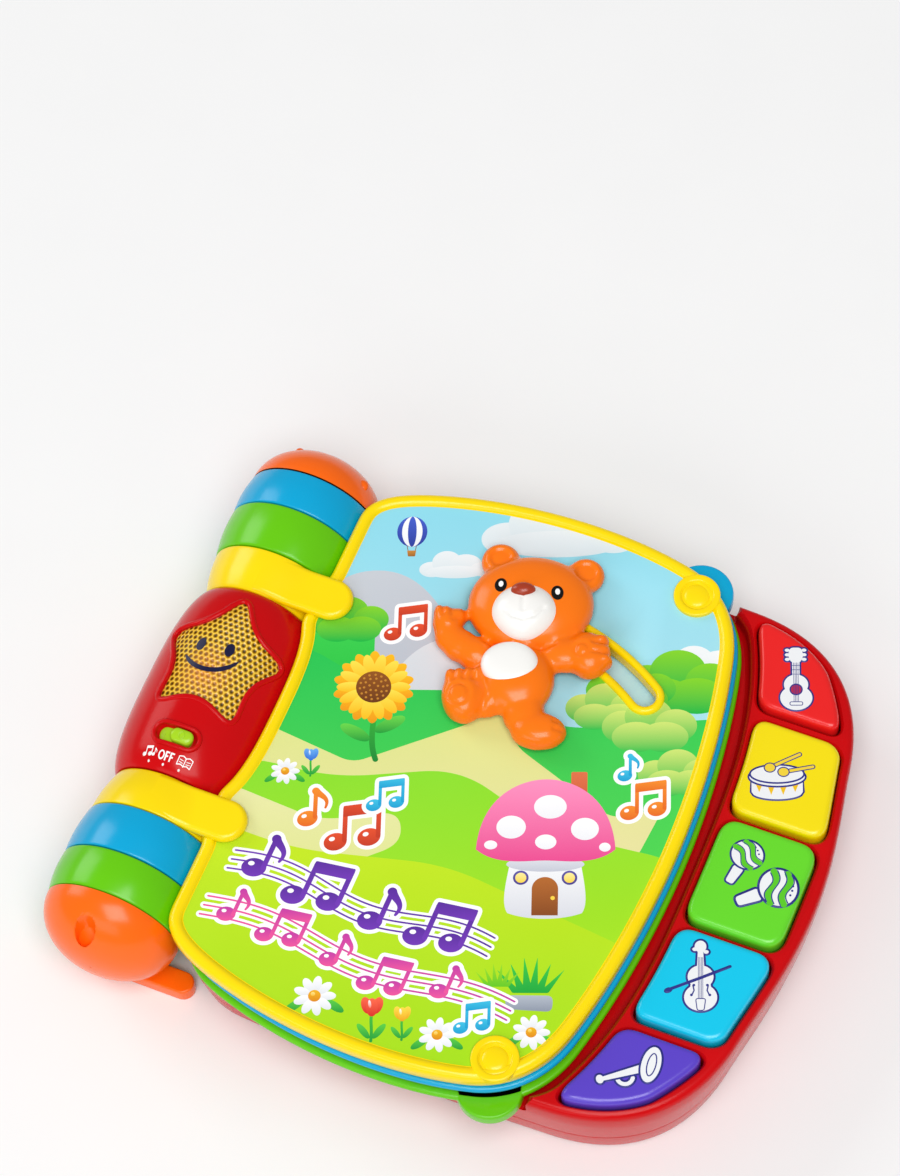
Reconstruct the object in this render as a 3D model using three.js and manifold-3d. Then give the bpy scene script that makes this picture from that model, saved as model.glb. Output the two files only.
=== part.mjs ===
// An electronic sound book for small children: a moulded base with five keys, a hinged cover and two
// stiff pages on a round spine, and a toy bear that slides along a slot in the cover.
// Millimetres. X runs from the spine to the keys, Y along the spine and Z up.
// The origin lies on the table, under the middle of the spine.
import * as THREE from "three";
import { mergeVertices } from "three/addons/utils/BufferGeometryUtils.js";
import Module from "manifold-3d";

const wasm = await Module();
wasm.setup();

// Clearances and walls
const seatGap = 0.3; // between pieces that touch or are fixed together
const runGap = 0.5; // between pieces that turn or slide on each other
const wall = 2.2; // moulded walls
const sheet = 0.5; // printed sheets

// Spine, along Y
const axisZ = 30;
const axleRadius = 15;
const axleWall = 3;
const barrelHalf = 40.8;
const barrelRadius = 31;
const waistRadius = 22.6;
const yellowRingWidth = 17.5;
const secondRingWidth = 19.2;
const thirdRingWidth = 16.5;
const ringBulge = 0.8;
const yellowRingRadius = 26.6;
const secondRingRadius = 28.4;
const thirdRingRadius = 27.4;
const capLength = 20.8;
const footHeight = 7;
const footWidth = 9;
const wellX = -5.7; // the lower cap's screw well
const wellRadius = 4.2;

// Star lens and switch on the barrel
const starY = 8;
const starTip = 27.5;
const starValley = 17.5;
const lensThickness = 2.4;
const switchX = -1.4;
const switchY = -26.7;
const switchSlotLength = 16.8;
const switchSlotWidth = 6.4;
const switchKnobLength = 9.4;
const switchRimWidth = 1.6;
const switchRimRise = 0.9;
const switchShutter = 1.2; // thickness of the curved plate that closes the slot
const switchGripRise = 1.4;
const switchOffset = 2; // the knob's place, right of the middle of its slot
const spineClear = switchGripRise + runGap; // between the barrel and the turning cover

// Base
const baseRight = 240.5;
const baseHalf = 109;
const baseLeft = barrelRadius + 1.3;
const partingZ = 14;
const deckZ = 29;
const keyHousingZ = 39;
const edgeRound = 2;

// Keys
const keyTravel = 2.5;
const keyRise = 3.6; // above the housing
const keyOuterRight = baseRight - 8.5;
const keyOuterDepth = 34.5;
const keyInnerRight = keyOuterRight - 31;
const keyInnerDepth = 18.6;
const keyLength = baseHalf - 5; // from the middle of the row to its tip
const keyCorner = 0.16; // of a key's width
const keyRound = 1.6;
const keySlant = 5; // the slope of the end keys' outer ends
const middleKeyHalf = 21.4;
const innerSeparator = 3.8;
const secondKeyEnd = 63.8;
const outerSeparator = 5.6;
const keyFlange = 1.2;
const keyBorder = 5; // from the base's edge to the ends of the row of keys

// Cover and pages
const coverRight = baseRight - 53.5;
const coverHalf = baseHalf + 6.5;
const coverLeft = baseLeft - 5.1;
const coverThickness = 7;
const pageThickness = 6;
const pageInset = 0.6;
const rimWidth = 5.4;
const rimRise = 1.3;
const strapThickness = 2.4;
const strapReach = 28; // from the spine's axis to the centre of the strap's round end
const knobX = coverRight - 31;
const knobY = coverHalf - 15;
const knobRadius = 8.8;
const tabX = coverRight - 31.5;
const tabY = coverHalf - 9.5;
const tabRadius = 12.4;

// Slot of the sliding bear: an arc about a point on the cover
const arcX = coverRight - 87;
const arcY = -25;
const arcRadius = coverHalf - 20.5;
const slotHalf = 4.2;
const slotRim = 3.2;
const slotRimRise = 0.9;
const slotStart = 97.5; // degrees from +X
const slotEnd = 56;
const postRadius = 3.5;
const postSpread = 3.5; // degrees either side of the carriage's middle
const carriageHalf = 9;
const carriageSpan = 8; // degrees either side
const carriageThickness = 2;

// Levels that follow from the sizes above
const greenZ = deckZ + runGap;
const blueZ = greenZ + pageThickness + runGap;
const coverZ = blueZ + pageThickness + runGap;
const coverTop = coverZ + coverThickness;
const yellowRingEnd = barrelHalf + yellowRingWidth;
const secondRingEnd = yellowRingEnd + secondRingWidth;
const thirdRingEnd = secondRingEnd + thirdRingWidth;
const boreRadius = axleRadius + runGap;

// Finishes
const finish = (color, roughness = 0.35) =>
  new THREE.MeshStandardMaterial({ color, roughness, metalness: 0 });
const red = finish(0xd90f1c, 0.3);
const yellow = finish(0xffe600);
const blue = finish(0x00b4e4);
const green = finish(0x78d414);
const orange = finish(0xff6a08);
const purple = finish(0x5541c8);
const amber = finish(0xffb000, 0.15);
const white = finish(0xf6f6f2, 0.4);
const brown = finish(0xa8381a, 0.3);
const dark = finish(0x2a201c, 0.3);
const gold = finish(0xe0b400, 0.45);
const paper = finish(0xb4dcf0, 0.6);
const rubber = finish(0x9aa0a6, 0.8);
const board = finish(0x1f7a3c, 0.5);
const steel = new THREE.MeshStandardMaterial({ color: 0xc8ccd0, roughness: 0.3, metalness: 1 });

const radians = (degrees) => (degrees * Math.PI) / 180;

// A closed geometry as a solid. Faces that a pole has shrunk to nothing are dropped.
function solid(geometry) {
  const loose = geometry.index ? geometry.toNonIndexed() : geometry;
  const bare = new THREE.BufferGeometry().setAttribute("position", loose.getAttribute("position"));
  const merged = mergeVertices(bare, 1e-4);
  const corners = merged.index.array;
  const kept = [];
  for (let i = 0; i < corners.length; i += 3) {
    const [a, b, c] = corners.slice(i, i + 3);
    if (a !== b && b !== c && c !== a) kept.push(a, b, c);
  }
  const build = (order) =>
    new wasm.Manifold(
      new wasm.Mesh({
        numProp: 3,
        vertProperties: merged.attributes.position.array,
        triVerts: new Uint32Array(order),
      }),
    );
  const made = build(kept);
  return made.volume() >= 0 ? made : build(kept.reverse());
}

const join = (...parts) => parts.reduce((sum, part) => sum.add(part));
const cut = (body, ...parts) => parts.reduce((rest, part) => rest.subtract(part), body);

// The outline as a flat slab from z0 to z1, its edges rounded by `round`.
function slab(outline, z0, z1, round = 0) {
  const geometry = new THREE.ExtrudeGeometry(new THREE.Shape(outline), {
    depth: z1 - z0 - 2 * round,
    bevelEnabled: round > 0,
    bevelThickness: round,
    bevelSize: round,
    bevelOffset: -round,
    bevelSegments: 1,
  });
  return solid(geometry.translate(0, 0, z0 + round));
}

// A profile of [radius, y] points turned about the spine's axis.
function turned(profile, segments = 24) {
  const points = profile.map(([r, y]) => new THREE.Vector2(r, y));
  return solid(new THREE.LatheGeometry(points, segments).translate(0, 0, axisZ));
}

function post(x, y, z0, z1, radius, segments = 10) {
  const geometry = new THREE.CylinderGeometry(radius, radius, z1 - z0, segments);
  return solid(geometry.rotateX(Math.PI / 2).translate(x, y, (z0 + z1) / 2));
}

function box(x0, x1, y0, y1, z0, z1) {
  const geometry = new THREE.BoxGeometry(x1 - x0, y1 - y0, z1 - z0);
  return solid(geometry.translate((x0 + x1) / 2, (y0 + y1) / 2, (z0 + z1) / 2));
}

function ellipsoid(x, y, z, rx, ry, rz, turn = 0, across = 11, down = 6) {
  const geometry = new THREE.SphereGeometry(1, across, down).scale(rx, ry, rz);
  return solid(geometry.rotateZ(turn).translate(x, y, z));
}

function disc(x, y, radius, segments = 20) {
  return Array.from({ length: segments }, (_, i) => {
    const angle = (i / segments) * 2 * Math.PI;
    return new THREE.Vector2(x + radius * Math.cos(angle), y + radius * Math.sin(angle));
  });
}

// Moves a closed outline inwards by `distance` (outwards if it is negative), keeping its corners sharp.
function inset(outline, distance) {
  const turn = THREE.ShapeUtils.area(outline) > 0 ? 1 : -1;
  return outline.map((point, i) => {
    const before = outline[(i + outline.length - 1) % outline.length];
    const after = outline[(i + 1) % outline.length];
    const a = point.clone().sub(before).normalize();
    const b = after.clone().sub(point).normalize();
    const bisector = new THREE.Vector2(-a.y - b.y, a.x + b.x).normalize();
    const stretch = Math.max(0.4, bisector.dot(new THREE.Vector2(-a.y, a.x)));
    return point.clone().addScaledVector(bisector, (turn * distance) / stretch);
  });
}

// Half an outline above the X axis, from right to left, closed by its mirror image below.
function mirrored(upper) {
  const lower = upper
    .filter((p) => p.y > 1e-6)
    .reverse()
    .map((p) => new THREE.Vector2(p.x, -p.y));
  return [...upper, ...lower];
}

// The outline of the cover and pages: a bulging right edge, round shoulders and arched ends.
function bookOutline(left, right, half) {
  const shoulder = { x: right - 37, y: half - 4 };
  const flank = { x: right - 9.5, y: half - 34 };
  const heel = { x: left + 19, y: half - 8.5 };
  const path = new THREE.Path();
  path.moveTo(right, 0);
  path.bezierCurveTo(right, 0.34 * flank.y, right - 3.5, 0.71 * flank.y, flank.x, flank.y);
  path.bezierCurveTo(flank.x - 3.8, flank.y + 15, shoulder.x + 14, shoulder.y - 4, shoulder.x, shoulder.y);
  path.bezierCurveTo(shoulder.x - 28, half + 3.5, heel.x + 34, half + 2.5, heel.x, heel.y);
  path.bezierCurveTo(heel.x - 12, heel.y - 4, left, heel.y - 9, left, heel.y - 19);
  return mirrored([...path.getPoints(5), new THREE.Vector2(left, 0)]);
}

// The outline of the base: straight ends and a wide round right side.
function baseOutline(left, right, half) {
  const flank = { x: right - 8, y: half - 50 };
  const shoulder = { x: right - 64, y: half - 1 };
  const heel = { x: left + 17, y: half - 3 };
  const path = new THREE.Path();
  path.moveTo(right, 0);
  path.bezierCurveTo(right, 0.4 * flank.y, flank.x + 2.5, flank.y - 15, flank.x, flank.y);
  path.bezierCurveTo(flank.x - 4.5, flank.y + 27, shoulder.x + 35, shoulder.y - 1, shoulder.x, shoulder.y);
  path.bezierCurveTo(shoulder.x - 40, half + 0.4, heel.x + 40, half + 0.4, heel.x, heel.y);
  path.bezierCurveTo(heel.x - 9, heel.y - 1.5, left, heel.y - 5, left, heel.y - 13);
  return mirrored([...path.getPoints(5), new THREE.Vector2(left, 0)]);
}

// Edges of the row of keys: each bows away from X = right by `depth` at the end of the row.
const keyInner = (y) => keyInnerRight - keyInnerDepth * Math.pow(Math.abs(y) / keyLength, 3.1);
const keyOuter = (y) => keyOuterRight - keyOuterDepth * Math.pow(Math.abs(y) / keyLength, 3.2);

// The outer radius of a ring at `t` from 0 to 1 along its width.
function ringProfile(y0, y1, r0, r1, bulge) {
  const steps = 3;
  return Array.from({ length: steps + 1 }, (_, i) => {
    const t = i / steps;
    return [r0 + (r1 - r0) * t + bulge * Math.sin(Math.PI * t), y0 + (y1 - y0) * t];
  });
}

// A spine ring between y0 and y1 with a bore for the axle.
function ring(y0, y1, r0, r1, side) {
  const outer = ringProfile(y0 + runGap / 2, y1 - runGap / 2, r0, r1, ringBulge);
  const profile = [...outer, [boreRadius, y1 - runGap / 2], [boreRadius, y0 + runGap / 2]];
  const closed = [...profile, profile[0]];
  return turned(closed.map(([r, y]) => [r, side * y]));
}

// Half of the barrel's profile: full in the middle, drawn in to its waist at the ends.
function barrelRadiusAt(y) {
  const t = Math.min(1, Math.abs(y) / barrelHalf);
  return waistRadius + (barrelRadius - waistRadius) * Math.pow(1 - Math.pow(t, 3), 0.62);
}

function barrelProfile(grow, half = barrelHalf) {
  const steps = 8;
  return Array.from({ length: steps + 1 }, (_, i) => {
    const y = -half + (2 * half * i) / steps;
    return [barrelRadiusAt(y) + grow, y];
  });
}

// A shape for the barrel's whole inside or outside, closed on the axis.
function barrelBody(grow, half) {
  const side = barrelProfile(grow, half);
  return turned([[0, -half], ...side, [0, half]]);
}

// A cylinder about the spine's axis.
function axleBore(radius, half = 2 * baseHalf) {
  return turned([
    [0, -half],
    [radius, -half],
    [radius, half],
    [0, half],
  ]);
}

// The star as it is drawn on the unrolled barrel, seen from above.
function starOutline(grow = 0) {
  const points = 5;
  const rounded = [];
  const corners = Array.from({ length: 2 * points }, (_, i) => {
    const radius = (i % 2 ? starValley : starTip) + grow;
    const angle = Math.PI / 2 + (i * Math.PI) / points;
    const turn = (radius * Math.cos(angle)) / barrelRadius;
    return new THREE.Vector2(barrelRadius * Math.sin(turn), starY + radius * Math.sin(angle));
  });
  corners.forEach((corner, i) => {
    const before = corners[(i + corners.length - 1) % corners.length];
    const after = corners[(i + 1) % corners.length];
    const start = corner.clone().lerp(before, 0.3);
    const end = corner.clone().lerp(after, 0.3);
    const bend = new THREE.QuadraticBezierCurve(start, corner, end);
    rounded.push(...bend.getPoints(2));
  });
  return rounded;
}

// A rectangle with round ends, long in X.
function stadium(x, y, length, width) {
  const radius = width / 2;
  const reach = length / 2 - radius;
  const shape = new THREE.Path();
  shape.absarc(x + reach, y, radius, -Math.PI / 2, Math.PI / 2);
  shape.absarc(x - reach, y, radius, Math.PI / 2, 1.5 * Math.PI);
  return shape.getPoints(6).slice(0, -1);
}

// A band that follows the bear's slot, between two angles, with round ends.
function arcBand(halfWidth, from, to, roundEnds = true, steps = 8) {
  const at = (radius, degrees) =>
    new THREE.Vector2(
      arcX + radius * Math.cos(radians(degrees)),
      arcY + radius * Math.sin(radians(degrees)),
    );
  const along = (radius, a, b) =>
    Array.from({ length: steps + 1 }, (_, i) => at(radius, a + ((b - a) * i) / steps));
  const cap = (degrees, way) => {
    const centre = at(arcRadius, degrees);
    return Array.from({ length: 7 }, (_, i) => {
      const angle = radians(degrees) + way * (((i + 1) * Math.PI) / 8);
      return new THREE.Vector2(
        centre.x + (way > 0 ? 1 : -1) * halfWidth * Math.cos(angle),
        centre.y + (way > 0 ? 1 : -1) * halfWidth * Math.sin(angle),
      );
    });
  };
  const outer = along(arcRadius + halfWidth, to, from);
  const inner = along(arcRadius - halfWidth, from, to);
  if (!roundEnds) return [...outer, ...inner];
  return [...outer, ...cap(from, 1), ...inner, ...cap(to, 1).map((p) => mirrorCap(p, at(arcRadius, to)))];
}

function mirrorCap(point, centre) {
  return new THREE.Vector2(2 * centre.x - point.x, 2 * centre.y - point.y);
}

const model = new THREE.Group();

function piece(name, shape, material) {
  const made = shape.getMesh();
  const positions = new Float32Array(made.numVert * 3);
  for (let i = 0; i < made.numVert; i += 1) {
    positions.set(made.vertProperties.subarray(i * made.numProp, i * made.numProp + 3), i * 3);
  }
  const geometry = new THREE.BufferGeometry();
  geometry.setAttribute("position", new THREE.BufferAttribute(positions, 3));
  geometry.setIndex(new THREE.BufferAttribute(new Uint32Array(made.triVerts), 1));
  geometry.computeVertexNormals();
  const mesh = new THREE.Mesh(geometry, material);
  mesh.name = name;
  model.add(mesh);
}

// Base: lower and upper shells

const baseShape = baseOutline(baseLeft, baseRight, baseHalf);
const coverShape = bookOutline(coverLeft, coverRight, coverHalf);
const pageLeft = barrelRadius + runGap;
const pageShape = inset(bookOutline(pageLeft, coverRight, coverHalf), pageInset);
const housingGap = 2.5; // between the pages and the key housing
const tabs = [
  { x: tabX, y: tabY },
  { x: tabX, y: -tabY },
];

function keyHousing(shrink) {
  const outer = slab(inset(baseShape, shrink), deckZ - wall, keyHousingZ - shrink, shrink ? 0 : edgeRound);
  const inner = slab(inset(coverShape, -housingGap - shrink), deckZ - 2 * wall, keyHousingZ + wall);
  const clear = tabs.map(({ x, y }) =>
    post(x, y, deckZ - 2 * wall, keyHousingZ + wall, tabRadius + housingGap + shrink, 32),
  );
  return cut(outer, inner, ...clear);
}

// A square from 0 to 1 with round corners.
function roundSquare(corner) {
  const side = [
    [corner, 0],
    [0.5, 0],
    [1 - corner, 0],
    [1 - corner / 4, corner / 4],
  ];
  return [0, 1, 2, 3].flatMap((quarter) =>
    side.map(([p, q]) => {
      const angle = (quarter * Math.PI) / 2;
      const [u, v] = [p - 0.5, q - 0.5];
      return [0.5 + u * Math.cos(angle) - v * Math.sin(angle), 0.5 + u * Math.sin(angle) + v * Math.cos(angle)];
    }),
  );
}

// A key's outline, grown by `grow` all round: the round square laid between the edges of the row.
function keyOutline({ y0, y1 }, grow = 0) {
  return roundSquare(keyCorner).map(([p, q]) => {
    const low = y0 - grow + (y0 < -secondKeyEnd ? keySlant * (1 - p) : 0);
    const high = y1 + grow - (y1 > secondKeyEnd ? keySlant * (1 - p) : 0);
    const y = low + (high - low) * q;
    const left = keyInner(y) - grow;
    return new THREE.Vector2(left + (keyOuter(y) + grow - left) * p, y);
  });
}

const yellowKeyStart = middleKeyHalf + innerSeparator;
const redKeyStart = secondKeyEnd + outerSeparator;
const redKeyEnd = keyLength;
const keyRow = [
  { name: "key_red", y0: redKeyStart, y1: redKeyEnd, material: finish(0xf00a0f) },
  { name: "key_yellow", y0: yellowKeyStart, y1: secondKeyEnd, material: finish(0xf5e100) },
  { name: "key_green", y0: -middleKeyHalf, y1: middleKeyHalf, material: finish(0x64dc1e) },
  { name: "key_blue", y0: -secondKeyEnd, y1: -yellowKeyStart, material: finish(0x00c8eb) },
  { name: "key_purple", y0: -redKeyEnd, y1: -redKeyStart, material: purple },
];

const bossRadius = 3.6;
const pilotRadius = 1.5;
const screwHeadRadius = 2.9;
const screwHeadZ = 8;
const screwInset = 21; // from the base's straight ends
const baseScrews = [baseLeft + screwInset, coverRight - screwInset - 6].flatMap((x) =>
  [1, -1].map((side) => ({ x, y: side * (baseHalf - screwInset) })),
);

const batteryRadius = 5.25;
const batteryLength = 44.5;
const batteryPitch = 11.5;
const batteryX = coverRight - 37;
const batteryY = 0;
const boxHalfX = 1.5 * batteryPitch + 1;
const boxHalfY = batteryLength / 2 + 3;
const doorThickness = 1.8;
const boxTop = doorThickness + 2 * batteryRadius + 3 * seatGap;
const speakerX = batteryX - 58;
const speakerY = 0;
const speakerRadius = 20;
const speakerHeight = 9;
const boardZ = 22;
const lampBoardZ = axisZ + 12;
const lampLegSpread = 13;
const boardThickness = 1.6;

function baseUpperShell() {
  const outer = join(slab(baseShape, partingZ + seatGap, deckZ), keyHousing(0));
  const hollow = slab(inset(baseShape, wall), partingZ - 1, deckZ - wall);
  const rowEnd = slab(inset(baseShape, keyBorder - runGap), partingZ, keyHousingZ + wall);
  const wells = keyRow.map((key) =>
    slab(keyOutline(key, runGap), keyHousingZ - 2 * wall, keyHousingZ + 1).intersect(rowEnd),
  );
  const pillars = baseScrews.map(({ x, y }) => post(x, y, partingZ + seatGap, deckZ - 1, bossRadius));
  const holes = baseScrews.map(({ x, y }) => post(x, y, partingZ - 1, deckZ - 4, pilotRadius, 12));
  return cut(join(cut(outer, hollow, keyHousing(wall), ...wells), ...pillars), ...holes);
}

function baseLowerShell() {
  const tray = cut(
    slab(baseShape, 0, partingZ, edgeRound),
    slab(inset(baseShape, wall), wall, partingZ + 1),
  );
  const rim = cut(
    slab(inset(baseShape, 0), partingZ - edgeRound, partingZ),
    slab(inset(baseShape, wall), partingZ - edgeRound - 1, partingZ + 1),
  );
  const half = barrelHalf - runGap / 2;
  const reach = 2 * axisZ;
  const trough = barrelBody(0, half).intersect(box(-reach, reach, -reach, reach, 0, axisZ - seatGap / 2));
  const troughHollow = barrelBody(-wall, half - wall).intersect(
    box(-reach, reach, -reach, reach, wall, axisZ + 1),
  );
  const bridge = box(20, baseLeft + 6, -half + 3, half - 3, 0, partingZ);
  const way = box(20, baseLeft + 8, -half + 6, half - 6, wall, partingZ + 1);
  const bosses = baseScrews.map(({ x, y }) => post(x, y, 0.5, partingZ, bossRadius));
  const bossHoles = baseScrews.flatMap(({ x, y }) => [
    post(x, y, -1, screwHeadZ, screwHeadRadius + seatGap),
    post(x, y, -1, partingZ + 1, pilotRadius + seatGap, 12),
  ]);
  const between = box(-axisZ, axisZ, -half + wall, half - wall, 0, 2 * axisZ);
  const axleHole = axleBore(axleRadius + seatGap).subtract(between);
  const chamber = cut(
    box(
      batteryX - boxHalfX - wall,
      batteryX + boxHalfX + wall,
      batteryY - boxHalfY - wall,
      batteryY + boxHalfY + wall,
      0.5,
      boxTop + wall,
    ),
    box(
      batteryX - boxHalfX,
      batteryX + boxHalfX,
      batteryY - boxHalfY,
      batteryY + boxHalfY,
      -1,
      boxTop,
    ),
  );
  const doorway = box(
    batteryX - boxHalfX,
    batteryX + boxHalfX,
    batteryY - boxHalfY,
    batteryY + boxHalfY,
    -1,
    boxTop,
  );
  const collar = cut(
    post(speakerX, speakerY, 0.5, wall + 5, speakerRadius + seatGap + 1.6, 32),
    post(speakerX, speakerY, wall, wall + 6, speakerRadius + seatGap, 32),
  );
  const grille = [];
  for (const [count, radius] of [[1, 0], [6, 8]]) {
    for (let i = 0; i < count; i += 1) {
      const angle = (i / count) * 2 * Math.PI;
      const x = speakerX + radius * Math.cos(angle);
      const y = speakerY + radius * Math.sin(angle);
      grille.push(post(x, y, -1, wall + 1, 2, 8));
    }
  }
  const lampLegs = [-lampLegSpread, lampLegSpread].map((y) =>
    post(0, starY + y, 0.5, lampBoardZ - seatGap, 2.5),
  );
  const legs = boardLegs().map(({ x, y }) => post(x, y, 0.5, boardZ - seatGap, 2.5, 12));
  const walls = join(cut(tray, doorway), rim, cut(trough, troughHollow, axleHole), bridge);
  const opened = cut(walls, way, troughHollow);
  return cut(join(opened, ...bosses, chamber, collar, ...legs, ...lampLegs), ...bossHoles, ...grille);
}

// The legs that carry the key board
function boardLegs() {
  return [-70, -24, 24, 70].map((y) => ({ x: (keyInner(y) + keyOuter(y)) / 2 - 6, y }));
}

piece("base_lower_shell", baseLowerShell(), red);
piece("base_upper_shell", baseUpperShell(), red);

const deckPrint = slab(
  inset(bookOutline(coverLeft + 8, coverRight, coverHalf - 9), pageInset),
  deckZ + 0.05,
  deckZ + 0.05 + 0.3,
);
piece("base_page_print", deckPrint, paper);

// Keys with their flanges and stems
const stemRadius = 4;
const flangeTop = keyHousingZ - wall - seatGap;
const flangeThickness = 2.4;
const padTop = boardZ + boardThickness + 5;

for (const key of keyRow) {
  const { name, y0, y1, material } = key;
  const capLimit = slab(inset(baseShape, keyBorder), partingZ, keyHousingZ + keyRise, keyRound);
  const flangeEnd = slab(inset(baseShape, keyBorder - keyFlange), partingZ, keyHousingZ + 1);
  const capWhole = slab(keyOutline(key), flangeTop - keyRound, keyHousingZ + keyRise, keyRound);
  const cap = capWhole.intersect(capLimit);
  const flangeWhole = slab(keyOutline(key, keyFlange), flangeTop - flangeThickness, flangeTop);
  const flange = flangeWhole.intersect(flangeEnd);
  const middle = (y0 + y1) / 2;
  const stemX = (keyInner(middle) + keyOuter(middle)) / 2;
  const stem = post(stemX, middle, padTop + keyTravel + seatGap, flangeTop - 1, stemRadius, 16);
  piece(name, join(cap, flange, stem), material);
}

// Key board and rubber key pad
const boardHalfWidth = 9;
function keyStrip(halfWidth, halfLength) {
  const steps = 12;
  const ys = Array.from({ length: steps + 1 }, (_, i) => -halfLength + (2 * halfLength * i) / steps);
  const middle = (y) => (keyInner(y) + keyOuter(y)) / 2;
  const right = ys.map((y) => new THREE.Vector2(middle(y) + halfWidth, y));
  const left = ys.reverse().map((y) => new THREE.Vector2(middle(y) - halfWidth, y));
  return [...right, ...left];
}
const boardHalfLength = keyLength - 16;
piece("key_board", slab(keyStrip(boardHalfWidth, boardHalfLength), boardZ, boardZ + boardThickness), board);
const padBase = slab(
  keyStrip(boardHalfWidth - 2, boardHalfLength),
  boardZ + boardThickness + seatGap,
  boardZ + boardThickness + 1.6,
);
const domes = keyRow.map(({ y0, y1 }) => {
  const middle = (y0 + y1) / 2;
  const x = (keyInner(middle) + keyOuter(middle)) / 2;
  return post(x, middle, boardZ + boardThickness + 1, padTop, stemRadius - 0.5, 16);
});
piece("key_pad", join(padBase, ...domes), rubber);

// Screws of the base
for (const [i, { x, y }] of baseScrews.entries()) {
  const head = post(x, y, screwHeadZ - 2.2, screwHeadZ - 0.02, screwHeadRadius);
  const shank = post(x, y, screwHeadZ - 1, partingZ + 8, pilotRadius - 0.2, 12);
  piece(`base_screw_${i + 1}`, join(head, shank), steel);
}

// Battery door, batteries and speaker
piece(
  "battery_door",
  box(
    batteryX - boxHalfX + seatGap,
    batteryX + boxHalfX - seatGap,
    batteryY - boxHalfY + seatGap,
    batteryY + boxHalfY - seatGap,
    0,
    doorThickness,
  ),
  red,
);
for (const i of [-1, 0, 1]) {
  const cell = new THREE.CylinderGeometry(batteryRadius, batteryRadius, batteryLength, 20);
  const nub = new THREE.CylinderGeometry(1.9, 1.9, 1.2, 12).translate(0, batteryLength / 2 + 0.5, 0);
  const x = batteryX + i * batteryPitch;
  const z = doorThickness + seatGap + batteryRadius;
  const made = join(solid(cell), solid(nub)).translate(x, batteryY, z);
  piece(`battery_${i + 2}`, made, steel);
}
const speakerCone = new THREE.LatheGeometry(
  [
    new THREE.Vector2(0, 0),
    new THREE.Vector2(speakerRadius - 1, 0),
    new THREE.Vector2(speakerRadius - 1, 2.4),
    new THREE.Vector2(speakerRadius * 0.55, speakerHeight - 3),
    new THREE.Vector2(speakerRadius * 0.5, speakerHeight),
    new THREE.Vector2(0, speakerHeight),
  ],
  32,
);
piece(
  "speaker",
  solid(speakerCone.rotateX(Math.PI / 2)).translate(speakerX, speakerY, wall + seatGap),
  dark,
);

// Spine: star housing, lens, lamp and switch

const starClear = slab(starOutline(seatGap), axisZ, 3 * axisZ);
const halfBarrel = barrelHalf - runGap / 2;

function starHousing() {
  const whole = barrelBody(0, halfBarrel);
  const rimShape = stadium(
    switchX,
    switchY,
    switchSlotLength + 2 * switchRimWidth,
    switchSlotWidth + 2 * switchRimWidth,
  );
  const boss = slab(rimShape, axisZ, 3 * axisZ).intersect(barrelBody(switchRimRise, halfBarrel));
  const hollow = barrelBody(-wall, halfBarrel - wall);
  const slot = slab(stadium(switchX, switchY, switchSlotLength, switchSlotWidth), axisZ, 3 * axisZ);
  const top = box(-2 * axisZ, 2 * axisZ, -2 * axisZ, 2 * axisZ, axisZ + seatGap / 2, 3 * axisZ);
  const shell = cut(join(whole, cut(boss, hollow)).intersect(top), hollow, axleBore(axleRadius + seatGap));
  return cut(shell, starClear, slot);
}
piece("star_housing", starHousing(), red);

function starLens() {
  const skin = cut(barrelBody(-seatGap, halfBarrel), barrelBody(-seatGap - lensThickness, halfBarrel - wall));
  return skin.intersect(slab(starOutline(0), axisZ + wall, 3 * axisZ));
}
piece("star_lens", starLens(), amber);

piece("lamp_board", box(-13, 13, starY - 18, starY + 18, lampBoardZ, lampBoardZ + 1.6), board);
const lamp = join(
  post(0, starY, lampBoardZ + 1.6 + 0.05, lampBoardZ + 6, 2.5, 16),
  ellipsoid(0, starY, lampBoardZ + 6, 2.5, 2.5, 2.5, 0, 16, 8),
);
piece("lamp", lamp, amber);

function switchKnob() {
  const x = switchX + switchOffset;
  const outer = barrelBody(-wall - runGap, halfBarrel - wall - runGap);
  const inner = barrelBody(-wall - runGap - switchShutter, halfBarrel - wall);
  const window = slab(stadium(x, switchY, switchSlotLength + 10, switchSlotWidth + 2), axisZ + wall, 3 * axisZ);
  const shutter = cut(outer, inner).intersect(window);
  const knobShape = stadium(x, switchY, switchKnobLength, switchSlotWidth - 2 * runGap);
  const grip = slab(knobShape, axisZ, 3 * axisZ).intersect(barrelBody(switchGripRise, halfBarrel));
  return join(shutter, cut(grip, inner));
}
piece("mode_switch", switchKnob(), green);

// Axles and end caps
const axleStart = halfBarrel - wall - 2;
const axleEnd = thirdRingEnd + 5;
const axleProfile = (side) =>
  [
    [axleRadius, axleStart],
    [axleRadius, axleEnd],
    [axleRadius - axleWall, axleEnd],
    [axleRadius - axleWall, axleStart],
    [axleRadius, axleStart],
  ].map(([r, y]) => [r, side * y]);

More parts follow.
